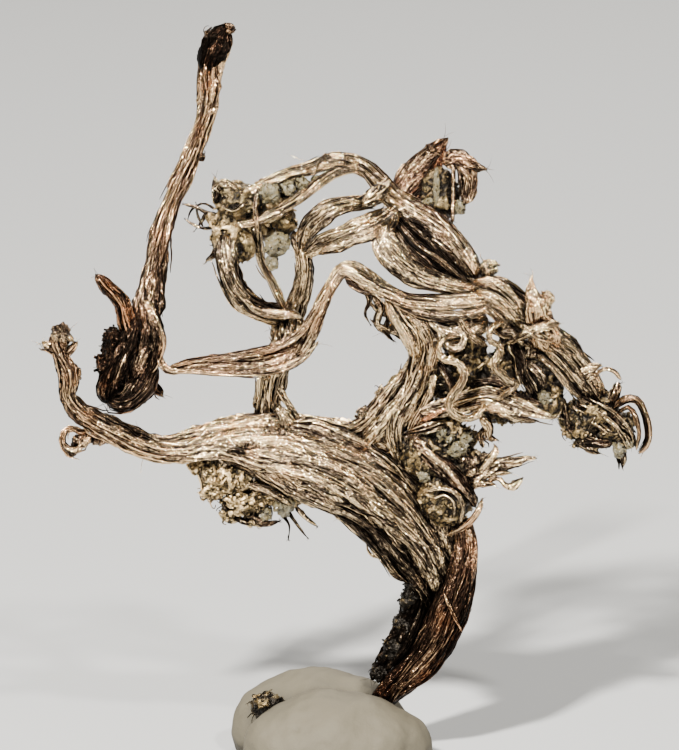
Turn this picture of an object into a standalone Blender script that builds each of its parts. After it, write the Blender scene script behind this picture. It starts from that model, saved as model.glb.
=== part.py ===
"""Native silver specimen: curled wires and ribbons of silver with crystal crust, standing in putty.

The silver grew as one branching piece and is parted at its main forks. Its strands are cylinders
bent along smooth paths, with a fluted section for the striations. The places of the strands are
read off a full-size drawing of the front, in millimetres right of its left edge and down from its
top edge. The drawing looks down on the specimen by VIEW_TILT.
Shapes are made and cut in millimetres, and the finished pieces are scaled to metres.
"""
import math
from dataclasses import dataclass

import bmesh
import bpy
from mathutils import Euler, Matrix, Vector, noise

MM = 0.001
GAP = 0.3                            # mm between neighbouring pieces
VIEW_TILT = math.radians(14.0)       # how far the drawing looks down
BASE_ACROSS = 32.7                   # mm, the middle of the putty's base on the drawing
BASE_DOWN = 76.4

RING_STEP = 2.4                      # mm between the rings of a strand
FLUTE_DEPTH = 0.09                   # height of the striation ridges, as a share of the radius
END_ROUNDING = 0.55                  # the end ring of a strand, as a share of its width
WAVER = 0.10                         # unevenness of a strand, as a share of its radius
WAVER_LENGTH = 2.4                   # mm
CRUST_ROUGHNESS = 0.20               # height of the crust's bumps, as a share of the lump's radius
CRUST_GRAIN = 1.6                    # mm, size of the bumps
CRYSTAL_TURN = 0.7                   # radians, the step between the ways that crystals face
PINCH = 0.5                          # mm, height of the finger dents in the putty
PINCH_LENGTH = 4.0                   # mm between the dents
LIGHTEN = (0.7, 0.78, 0.88)          # shares of the triangles kept after the cuts, best first

EYE = Vector((0.0, -math.cos(VIEW_TILT), math.sin(VIEW_TILT)))


def seen(across, down, depth):
    """Place in millimetres of a point of the drawing that lies depth behind its middle plane."""
    up = BASE_DOWN - down
    height = (up - depth * math.sin(VIEW_TILT)) / math.cos(VIEW_TILT)
    return Vector((across - BASE_ACROSS, depth, height))


def smooth_path(points, spans=12):
    """Close-set stations (place, half width) on a Catmull-Rom curve through the points."""
    knots = [Vector((*seen(*point[:3]), point[3])) for point in points]
    knots = [2 * knots[0] - knots[1], *knots, 2 * knots[-1] - knots[-2]]
    stations = []
    for before, start, end, after in zip(knots, knots[1:], knots[2:], knots[3:]):
        for step in range(spans):
            t = step / spans
            slope_in = (end - before) / 2
            slope_out = (after - start) / 2
            stations.append(
                start * (2 * t**3 - 3 * t**2 + 1)
                + slope_in * (t**3 - 2 * t**2 + t)
                + end * (3 * t**2 - 2 * t**3)
                + slope_out * (t**3 - t**2)
            )
    stations.append(knots[-2])
    return stations


def even_path(points, ring_step):
    """Stations an equal length apart, and the way along the curve at each."""
    stations = smooth_path(points)
    lengths = [0.0]
    for one, other in zip(stations, stations[1:]):
        lengths.append(lengths[-1] + (other - one).xyz.length)
    count = max(5, round(lengths[-1] / ring_step) + 1)
    even = []
    for index in range(count):
        wanted = lengths[-1] * index / (count - 1)
        after = next(i for i, length in enumerate(lengths) if length >= wanted - 1e-9)
        after = max(after, 1)
        share = (wanted - lengths[after - 1]) / (lengths[after] - lengths[after - 1])
        even.append(stations[after - 1].lerp(stations[after], share))
    places = [station.xyz for station in even]
    ways = []
    for index in range(count):
        ahead = places[min(index + 1, count - 1)]
        behind = places[max(index - 1, 0)]
        ways.append((ahead - behind).normalized())
    return even, ways


@dataclass
class Strand:
    """Fluted strand. points are (across, down, depth, half width); flat is depth over width."""

    points: list
    flat: float = 0.9
    ridges: int = 5
    turn: tuple = (0.0, 0.0)
    ring_step: float = RING_STEP

    def mesh(self, grow):
        stations, ways = even_path(self.points, self.ring_step)
        count = len(stations)
        bm = bmesh.new()
        bmesh.ops.create_cone(
            bm, cap_ends=True, segments=2 * self.ridges, radius1=1, radius2=1, depth=1
        )
        lengthwise = [e for e in bm.edges if abs(e.verts[0].co.z - e.verts[1].co.z) > 0.5]
        bmesh.ops.subdivide_edges(bm, edges=lengthwise, cuts=count - 2)
        for vert in bm.verts:
            ring = round((vert.co.z + 0.5) * (count - 1))
            angle = math.atan2(vert.co.y, vert.co.x)
            vert.co = self.surface(stations, ways, ring, angle, grow)
        return bm

    def surface(self, stations, ways, ring, angle, grow):
        """Place of one point of the section at a ring."""
        count = len(stations)
        place = stations[ring].xyz
        half_width = stations[ring][3]
        way = ways[ring]
        side = EYE.cross(way).normalized()
        front = way.cross(side)
        turn = math.radians(self.turn[0] + (self.turn[1] - self.turn[0]) * ring / (count - 1))
        side, front = (
            side * math.cos(turn) + front * math.sin(turn),
            front * math.cos(turn) - side * math.sin(turn),
        )
        size = half_width * (1 + FLUTE_DEPTH * math.cos(self.ridges * angle))
        if ring in (0, count - 1):
            size *= END_ROUNDING
            place = place + way * (grow if ring else -grow)
        out = side * math.cos(angle) + front * math.sin(angle)
        size *= 1 + WAVER * noise.noise((place + out * half_width) / WAVER_LENGTH)
        return (
            place
            + side * math.cos(angle) * (size + grow)
            + front * math.sin(angle) * (size * self.flat + grow)
        )


@dataclass
class Lump:
    """Granular lump of crust, about as wide as its three half sizes across, down and deep."""

    centre: tuple
    half: tuple
    detail: int = 2
    roughness: float = CRUST_ROUGHNESS

    def mesh(self, grow):
        bm = bmesh.new()
        bmesh.ops.create_icosphere(bm, subdivisions=self.detail, radius=1)
        middle = seen(*self.centre)
        for vert in bm.verts:
            way = vert.co.copy()
            radii = Vector((self.half[0] + grow, self.half[2] + grow, self.half[1] + grow))
            place = middle + way * radii
            bump = self.roughness * min(self.half) * noise.noise(place / CRUST_GRAIN)
            vert.co = place + way * bump
        return bm


@dataclass
class Crystal:
    """Block-shaped crystal with flat faces. half is its half sizes across, down and deep."""

    centre: tuple
    half: tuple
    facing: int = 0

    def mesh(self, grow):
        bm = bmesh.new()
        bmesh.ops.create_cube(bm, size=2)
        turned = Euler((self.facing * CRYSTAL_TURN, self.facing * 0.5, self.facing * CRYSTAL_TURN))
        sizes = Vector((self.half[0] + grow, self.half[2] + grow, self.half[1] + grow))
        for vert in bm.verts:
            vert.co = vert.co * sizes
        bmesh.ops.rotate(bm, verts=bm.verts, matrix=turned.to_matrix())
        bmesh.ops.translate(bm, verts=bm.verts, vec=seen(*self.centre))
        return bm


@dataclass
class Lobe:
    """Pinched lobe of putty, cut flat at the base. middle and half are right, back and up, mm."""

    middle: tuple
    half: tuple

    def mesh(self, grow):
        bm = bmesh.new()
        bmesh.ops.create_icosphere(bm, subdivisions=3, radius=1)
        radii = Vector(self.half) + Vector((grow, grow, grow))
        for vert in bm.verts:
            way = vert.co.copy()
            place = Vector(self.middle) + way * radii
            vert.co = place + way * PINCH * noise.noise(place / PINCH_LENGTH)
        everything = bm.verts[:] + bm.edges[:] + bm.faces[:]
        cut = bmesh.ops.bisect_plane(
            bm, geom=everything, plane_co=(0, 0, 0), plane_no=(0, 0, -1), clear_outer=True
        )
        rim = [item for item in cut["geom_cut"] if isinstance(item, bmesh.types.BMEdge)]
        bmesh.ops.edgeloop_fill(bm, edges=rim)
        return bm


SILVER = ("#B9A486", 0.9, 0.38)
COPPER_BROWN = ("#8A5B3E", 0.85, 0.42)
CRUST = ("#77706A", 0.2, 0.75)
TAN_CRUST = ("#A3917A", 0.2, 0.8)
PUTTY = ("#CDC8BA", 0.0, 0.7)
MATRIX = ("#5B5142", 0.0, 0.85)

# The trunk. A piece is cut clear of the pieces listed before it, so what grows on it follows.
TRUNK = [
    ("stem", COPPER_BROWN, [
        Strand([(37.2, 72.0, 0.6, 1.0), (38.6, 70.0, 0.3, 1.2), (40.5, 68.2, 0.0, 1.5),
                (42.5, 66.2, -0.3, 1.7), (44.2, 63.5, -0.5, 1.8), (45.2, 61.0, -0.5, 1.8),
                (46.0, 58.5, -0.3, 1.6), (46.5, 56.0, 0.0, 1.4), (46.5, 53.5, 0.3, 1.2),
                (46.0, 51.5, 0.6, 1.0)], flat=0.85),
    ]),
    ("main_bundle", SILVER, [
        Strand([(17.5, 45.5, -1.6, 0.6), (22.0, 44.8, -1.3, 1.0), (26.0, 45.5, -1.1, 1.5),
                (30.0, 46.6, -1.0, 1.8), (34.0, 48.2, -0.9, 1.9), (38.0, 50.8, -0.6, 1.8),
                (41.5, 54.0, -0.2, 1.6), (43.6, 57.5, 0.3, 1.3), (44.2, 60.0, 0.8, 0.8)]),
        Strand([(16.2, 44.6, -1.2, 0.6), (20.0, 43.6, -0.6, 0.9), (24.0, 42.8, 0.3, 1.3),
                (28.0, 42.9, 0.8, 1.6), (32.0, 43.5, 1.0, 1.8), (36.0, 44.8, 1.0, 1.9),
                (39.5, 47.4, 1.0, 1.8), (42.5, 50.8, 1.0, 1.6), (44.4, 54.5, 1.0, 1.3),
                (45.0, 57.5, 1.0, 0.8)]),
        Strand([(22.4, 45.4, -0.8, 0.6), (26.0, 46.8, -0.6, 1.1), (30.0, 48.5, -0.4, 1.4),
                (34.0, 50.1, -0.2, 1.5), (37.0, 52.1, 0.0, 1.5), (40.0, 55.3, 0.4, 1.5),
                (42.3, 58.7, 0.8, 0.9)], flat=1.1),
        Strand([(20.0, 44.4, -1.6, 0.5), (26.0, 44.0, -1.2, 0.9), (31.0, 44.8, -1.0, 1.1),
                (36.0, 46.9, -0.8, 1.2), (40.0, 50.2, -0.6, 1.1), (43.0, 54.2, -0.2, 0.9),
                (44.8, 57.8, 0.4, 0.6)], ridges=4),
        Strand([(23.5, 44.6, 1.6, 0.7), (30.0, 45.8, 2.8, 1.6), (36.0, 48.2, 3.2, 1.8),
                (41.0, 52.2, 2.8, 1.5), (44.0, 56.5, 1.8, 0.9)]),
        Strand([(35.8, 52.2, 0.0, 0.45), (36.2, 54.4, -0.1, 0.35), (36.9, 55.5, -0.3, 0.3),
                (38.2, 55.8, -0.4, 0.2)], ridges=3, ring_step=1.0),
    ]),
    ("column", SILVER, [
        Strand([(37.0, 44.4, 0.8, 1.8), (39.2, 41.6, 0.6, 2.3), (41.0, 39.2, 0.4, 2.1),
                (42.0, 37.0, 0.1, 1.8), (42.4, 35.2, -0.3, 1.7), (42.5, 33.4, -0.6, 2.0),
                (42.8, 32.0, -0.8, 1.6)], flat=0.8, ridges=6),
        Strand([(38.6, 32.8, -0.6, 1.0), (42.0, 33.2, -0.8, 1.6), (45.5, 32.8, -0.9, 1.7),
                (48.8, 32.0, -0.8, 1.4)], flat=1.1),
        Lump((36.4, 41.4, 0.5), (1.2, 0.9, 1.0), detail=1),
    ]),
    ("post", SILVER, [
        Strand([(26.8, 42.6, 0.5, 1.8), (26.8, 40.0, 0.5, 1.3), (27.0, 38.4, 0.6, 1.3),
                (27.5, 36.4, 0.8, 1.4), (28.4, 34.4, 1.1, 1.4), (28.6, 32.4, 1.4, 1.7),
                (28.3, 31.0, 1.6, 1.9)], flat=0.85),
        Strand([(27.4, 38.2, 0.4, 0.4), (28.7, 40.2, 0.3, 0.3), (30.0, 41.9, 0.4, 0.3)],
               ridges=3, ring_step=1.2),
    ]),
]

HOLDER = [
    ("putty_mount", PUTTY, [
        Lobe((-0.7, 3.6, 2.0), (9.0, 5.6, 6.2)),
        Lobe((0.9, -3.4, 2.0), (9.6, 6.2, 6.0)),
    ]),
    ("putty_crumb", MATRIX, [
        Lump((26.8, 71.0, -0.6), (1.7, 1.3, 1.2), roughness=0.35),
    ]),
]

LEFT_SIDE = [
    ("stem_crust", CRUST, [
        Strand([(37.2, 68.4, 1.3, 0.8), (38.8, 66.8, 1.5, 1.3), (40.2, 64.4, 1.6, 1.5),
                (41.4, 61.8, 1.7, 1.6), (42.0, 59.4, 1.8, 1.5), (42.2, 57.8, 1.8, 1.1)],
               flat=1.1, ridges=4),
        Lump((40.0, 65.6, 0.6), (1.2, 1.4, 1.2)),
    ]),
    ("tall_wire", SILVER, [
        Strand([(22.2, 2.9, 6.0, 0.8), (22.0, 4.2, 5.9, 1.3), (20.9, 7.0, 5.6, 1.2),
                (20.9, 10.0, 5.2, 1.0), (20.4, 12.4, 4.8, 0.85), (19.6, 14.6, 4.4, 0.8),
                (18.6, 17.0, 4.0, 0.95), (17.2, 20.0, 3.4, 0.8), (16.3, 22.5, 2.8, 0.95),
                (15.7, 26.0, 2.1, 1.1), (15.2, 28.6, 1.5, 1.45), (14.8, 31.2, 0.9, 1.6),
                (14.9, 33.6, 0.4, 1.5), (14.9, 35.6, 0.0, 1.2), (14.8, 36.6, -0.1, 0.9)],
               flat=0.75),
    ]),
    ("wire_knot", SILVER, [
        Strand([(14.2, 32.2, -0.6, 0.9), (12.8, 34.8, -1.4, 0.9), (11.4, 37.2, -1.6, 0.9),
                (10.4, 39.6, -1.4, 0.8)], flat=1.0, ridges=4, ring_step=1.6),
        Strand([(15.6, 37.0, -0.4, 0.8), (15.2, 38.6, -0.6, 0.9), (13.8, 39.9, -0.8, 1.0),
                (12.2, 40.3, -1.0, 0.95), (10.8, 39.6, -1.2, 0.9)], flat=1.0, ridges=4,
               ring_step=1.6),
        Lump((11.5, 35.4, -0.4), (1.5, 2.2, 1.3)),
        Lump((12.8, 38.4, -0.3), (1.9, 1.8, 1.1), detail=1),
    ]),
    ("thorn", COPPER_BROWN, [
        Strand([(9.7, 27.5, -2.0, 0.3), (10.7, 28.6, -1.7, 0.7), (11.7, 29.6, -1.3, 0.8),
                (12.3, 30.6, -0.9, 0.85), (12.6, 32.0, -0.6, 0.9), (13.0, 33.6, -0.2, 0.8)],
               flat=0.8, ridges=4, ring_step=1.3),
    ]),
    ("tail", SILVER, [
        Strand([(6.6, 32.0, -5.0, 0.3), (6.5, 33.4, -4.9, 0.9), (6.0, 34.6, -4.7, 1.1),
                (6.4, 35.8, -4.5, 0.9), (6.9, 37.0, -4.3, 1.1), (7.1, 38.2, -4.1, 1.0),
                (7.0, 39.4, -3.8, 0.85), (7.5, 40.6, -3.5, 0.9), (9.0, 41.9, -3.1, 1.1),
                (12.0, 43.4, -2.5, 1.25), (15.0, 44.9, -1.8, 1.2), (17.2, 45.3, -1.5, 0.8)],
               flat=0.85, ridges=4, ring_step=1.5),
        Strand([(6.4, 35.0, -4.7, 0.8), (5.2, 34.6, -4.9, 0.6), (4.3, 34.2, -5.0, 0.25)],
               ridges=3, ring_step=0.9),
        Strand([(6.6, 35.6, -4.6, 0.7), (7.4, 35.0, -4.9, 0.5), (8.1, 34.2, -5.1, 0.2)],
               ridges=3, ring_step=0.9),
        Strand([(9.4, 42.4, -3.0, 0.5), (8.6, 43.2, -3.4, 0.35), (7.6, 42.8, -3.7, 0.3),
                (6.7, 43.0, -3.9, 0.3), (6.2, 43.9, -4.0, 0.35), (6.8, 44.8, -3.9, 0.5),
                (7.9, 45.1, -3.7, 0.6), (8.8, 45.4, -3.5, 0.3)], flat=1.4, ridges=3,
               ring_step=0.9),
    ]),
    ("under_crust", TAN_CRUST, [
        Lump((22.6, 47.6, 0.4), (3.5, 2.0, 1.7)),
        Lump((23.6, 50.6, 1.2), (2.6, 2.0, 1.7)),
        Lump((27.0, 49.4, 1.4), (2.0, 1.8, 1.6)),
        Crystal((28.4, 50.9, 0.6), (1.2, 1.0, 0.9), facing=1),
        Strand([(28.2, 51.4, 1.0, 0.5), (29.4, 52.8, 1.0, 0.35), (30.8, 54.2, 1.0, 0.15)],
               ridges=3, ring_step=1.2),
    ]),
    ("ribbon", SILVER, [
        Strand([(15.6, 36.0, -1.2, 0.35), (17.2, 37.0, -2.0, 0.35), (19.0, 36.5, -2.8, 0.55),
                (21.5, 36.4, -3.4, 0.9), (24.5, 36.4, -3.6, 1.15), (27.5, 36.2, -3.4, 1.4),
                (29.8, 35.4, -3.0, 1.3), (31.6, 34.4, -2.6, 0.4)], flat=0.45,
               turn=(10.0, -10.0), ring_step=1.8),
        Strand([(30.0, 35.6, -3.0, 0.9), (31.1, 33.5, -3.3, 0.95), (31.7, 31.8, -3.5, 0.8),
                (32.6, 30.0, -3.5, 0.7), (33.5, 28.3, -3.3, 0.6), (34.3, 27.2, -3.0, 0.5)],
               flat=0.55, ridges=4, ring_step=1.8),
    ]),
]

MIDDLE = [
    ("lower_band", SILVER, [
        Strand([(34.2, 27.2, -3.0, 0.5), (35.6, 27.6, -3.4, 0.75), (36.9, 28.2, -3.4, 1.0),
                (38.8, 29.2, -3.2, 0.9), (41.0, 30.1, -2.9, 0.9), (44.0, 30.4, -2.5, 1.1),
                (47.0, 30.3, -2.0, 1.1), (49.0, 30.0, -1.4, 0.9)], flat=0.7),
        Strand([(39.0, 30.6, -2.4, 0.4), (42.0, 31.6, -2.3, 0.6), (46.0, 31.8, -2.0, 0.7),
                (49.0, 31.2, -1.2, 0.5)], flat=0.8, ridges=4),
    ]),
    ("loop_left", SILVER, [
        Strand([(28.0, 31.0, 0.8, 0.8), (26.4, 31.1, 0.0, 0.9), (24.8, 30.2, -0.8, 1.0),
                (23.6, 28.8, -1.3, 1.1), (23.0, 27.2, -1.4, 1.1), (22.7, 25.2, -1.0, 1.1),
                (22.8, 23.4, -0.2, 0.9)], flat=0.8, ring_step=1.7),
    ]),
    ("loop_middle", SILVER, [
        Strand([(28.2, 30.6, 1.4, 0.45), (27.2, 28.2, 2.0, 0.45), (26.2, 26.4, 2.3, 0.45),
                (25.8, 24.2, 2.2, 0.5), (25.6, 22.4, 2.0, 0.5)], flat=1.2, ridges=3),
    ]),
    ("loop_right", SILVER, [
        Strand([(29.4, 31.0, 1.4, 0.9), (30.1, 29.0, 0.8, 0.85), (30.4, 27.2, 0.4, 0.8),
                (30.2, 25.2, 0.4, 0.8), (29.4, 23.2, 1.0, 0.8)], flat=0.9, ridges=4,
               ring_step=1.8),
    ]),
    ("head_crust", CRUST, [
        Lump((24.6, 20.6, 2.0), (3.1, 2.6, 2.7)),
        Lump((28.0, 19.8, 2.2), (2.2, 2.1, 2.3)),
        Lump((22.6, 23.6, 1.4), (1.4, 2.6, 1.7)),
        Lump((28.0, 23.4, 1.6), (1.5, 2.4, 1.8)),
        Lump((20.6, 21.4, 3.4), (2.3, 1.4, 1.6), detail=1),
        Lump((25.6, 22.0, 4.4), (2.2, 2.2, 1.8), detail=1),
        Crystal((27.8, 24.4, 0.2), (0.9, 1.4, 0.8), facing=1),
        Crystal((27.4, 26.0, 0.8), (0.7, 0.6, 0.7), facing=3),
        Crystal((27.2, 18.6, 0.2), (0.8, 0.7, 0.8), facing=2),
        Crystal((29.0, 19.2, 0.4), (0.9, 0.8, 0.8), facing=4),
        Crystal((30.2, 18.8, 1.2), (0.8, 0.8, 0.8), facing=5),
        Crystal((24.4, 17.8, 1.4), (0.7, 0.8, 0.7), facing=6),
        Strand([(22.6, 19.6, 1.8, 0.7), (21.7, 18.6, 1.6, 0.4), (21.4, 17.9, 1.6, 0.1)],
               ridges=3, ring_step=0.9),
        Strand([(22.2, 24.8, 1.0, 0.6), (21.1, 25.4, 0.6, 0.4), (20.4, 26.1, 0.4, 0.1)],
               ridges=3, ring_step=0.9),
    ]),
    ("arch_rise", SILVER, [
        Strand([(25.6, 18.9, 0.6, 0.6), (28.5, 17.6, 1.0, 0.75), (30.5, 17.0, 1.8, 0.8),
                (32.5, 16.4, 2.6, 0.8), (33.4, 16.3, 2.9, 0.7)], flat=0.9, ridges=4,
               ring_step=1.6),
        Strand([(26.4, 21.7, 0.0, 0.35), (28.5, 20.9, -0.4, 0.5), (30.5, 19.8, 0.2, 0.8),
                (32.2, 18.4, 1.4, 0.7), (33.1, 17.0, 2.3, 0.6)], flat=0.9, ridges=4,
               ring_step=1.6),
    ]),
    ("arch_fall", SILVER, [
        Strand([(33.0, 16.4, 2.8, 0.8), (34.8, 16.3, 3.4, 0.9), (36.5, 16.8, 3.7, 0.9),
                (38.0, 18.2, 3.6, 0.95), (39.2, 19.8, 3.2, 1.05), (41.2, 21.3, 2.5, 1.25),
                (43.5, 22.7, 1.7, 1.4), (45.5, 24.4, 0.9, 1.3), (47.0, 26.3, 0.3, 1.1),
                (47.7, 27.9, 0.1, 0.9)], flat=0.8, ring_step=1.8),
    ]),
    ("leaf_upper", SILVER, [
        Strand([(30.0, 25.6, 0.0, 0.4), (30.6, 23.3, -1.0, 0.85), (32.2, 21.6, -1.8, 1.05),
                (34.3, 20.7, -1.4, 0.9), (36.2, 20.4, -0.2, 0.7), (37.6, 19.8, 1.4, 0.9),
                (38.4, 19.6, 2.4, 0.6)], flat=0.5, ring_step=1.6),
    ]),
    ("leaf_lower", SILVER, [
        Strand([(30.4, 25.5, -0.6, 0.45), (32.5, 24.5, -1.8, 0.9), (35.0, 23.5, -2.6, 1.15),
                (37.0, 22.8, -2.4, 1.25), (38.6, 22.0, -1.0, 1.1), (39.6, 21.0, 1.2, 0.6)],
               flat=0.45, ring_step=1.7),
    ]),
    ("pod_outer", SILVER, [
        Strand([(38.0, 22.2, -1.6, 0.9), (38.3, 24.0, -2.8, 1.25), (39.3, 25.7, -3.3, 1.3),
                (41.2, 27.3, -3.2, 1.2), (43.5, 28.3, -2.6, 1.0), (46.0, 28.9, -1.7, 0.7),
                (47.8, 29.0, -1.0, 0.5)], flat=0.5, ring_step=1.8),
    ]),
    ("pod_inner", SILVER, [
        Strand([(39.4, 21.6, 1.4, 0.6), (41.2, 24.4, 0.2, 0.9), (43.2, 26.2, -0.4, 0.9),
                (45.4, 27.6, -0.6, 0.8), (47.2, 28.6, -0.6, 0.5)], ridges=4),
    ]),
    ("wing_plate", SILVER, [
        Strand([(39.5, 20.2, 3.6, 1.2), (41.0, 18.4, 4.2, 1.3), (42.6, 16.6, 4.6, 1.15),
                (43.8, 15.0, 4.8, 0.85), (44.8, 13.8, 4.8, 0.3)], flat=0.35,
               ring_step=1.7),
        Lump((43.2, 14.8, 4.8), (0.7, 0.6, 0.6), detail=1),
    ]),
    ("wing_crust", CRUST, [
        Lump((43.8, 19.6, 3.4), (1.9, 2.8, 1.3)),
        Crystal((43.5, 19.0, 2.2), (0.45, 2.0, 0.7)),
        Crystal((42.4, 20.0, 2.4), (0.4, 1.2, 0.6), facing=1),
        Crystal((45.8, 20.8, 2.4), (0.8, 0.7, 0.6), facing=2),
    ]),
    ("wing_flake", SILVER, [
        Strand([(44.4, 17.2, 3.4, 0.6), (45.6, 15.8, 3.0, 0.8), (47.0, 16.5, 2.6, 0.75),
                (48.8, 17.1, 2.2, 0.15)], flat=0.35, ridges=4, ring_step=1.2),
        Strand([(46.3, 16.6, 2.8, 0.6), (46.6, 18.2, 2.5, 0.8), (46.8, 20.0, 2.2, 0.6)],
               flat=0.45, ridges=3, ring_step=1.2),
        Strand([(45.4, 16.6, 2.8, 0.3), (45.3, 19.4, 2.0, 0.25), (45.2, 22.6, 1.4, 0.25)],
               flat=1.0, ridges=3, ring_step=2.0),
    ]),
]

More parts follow.
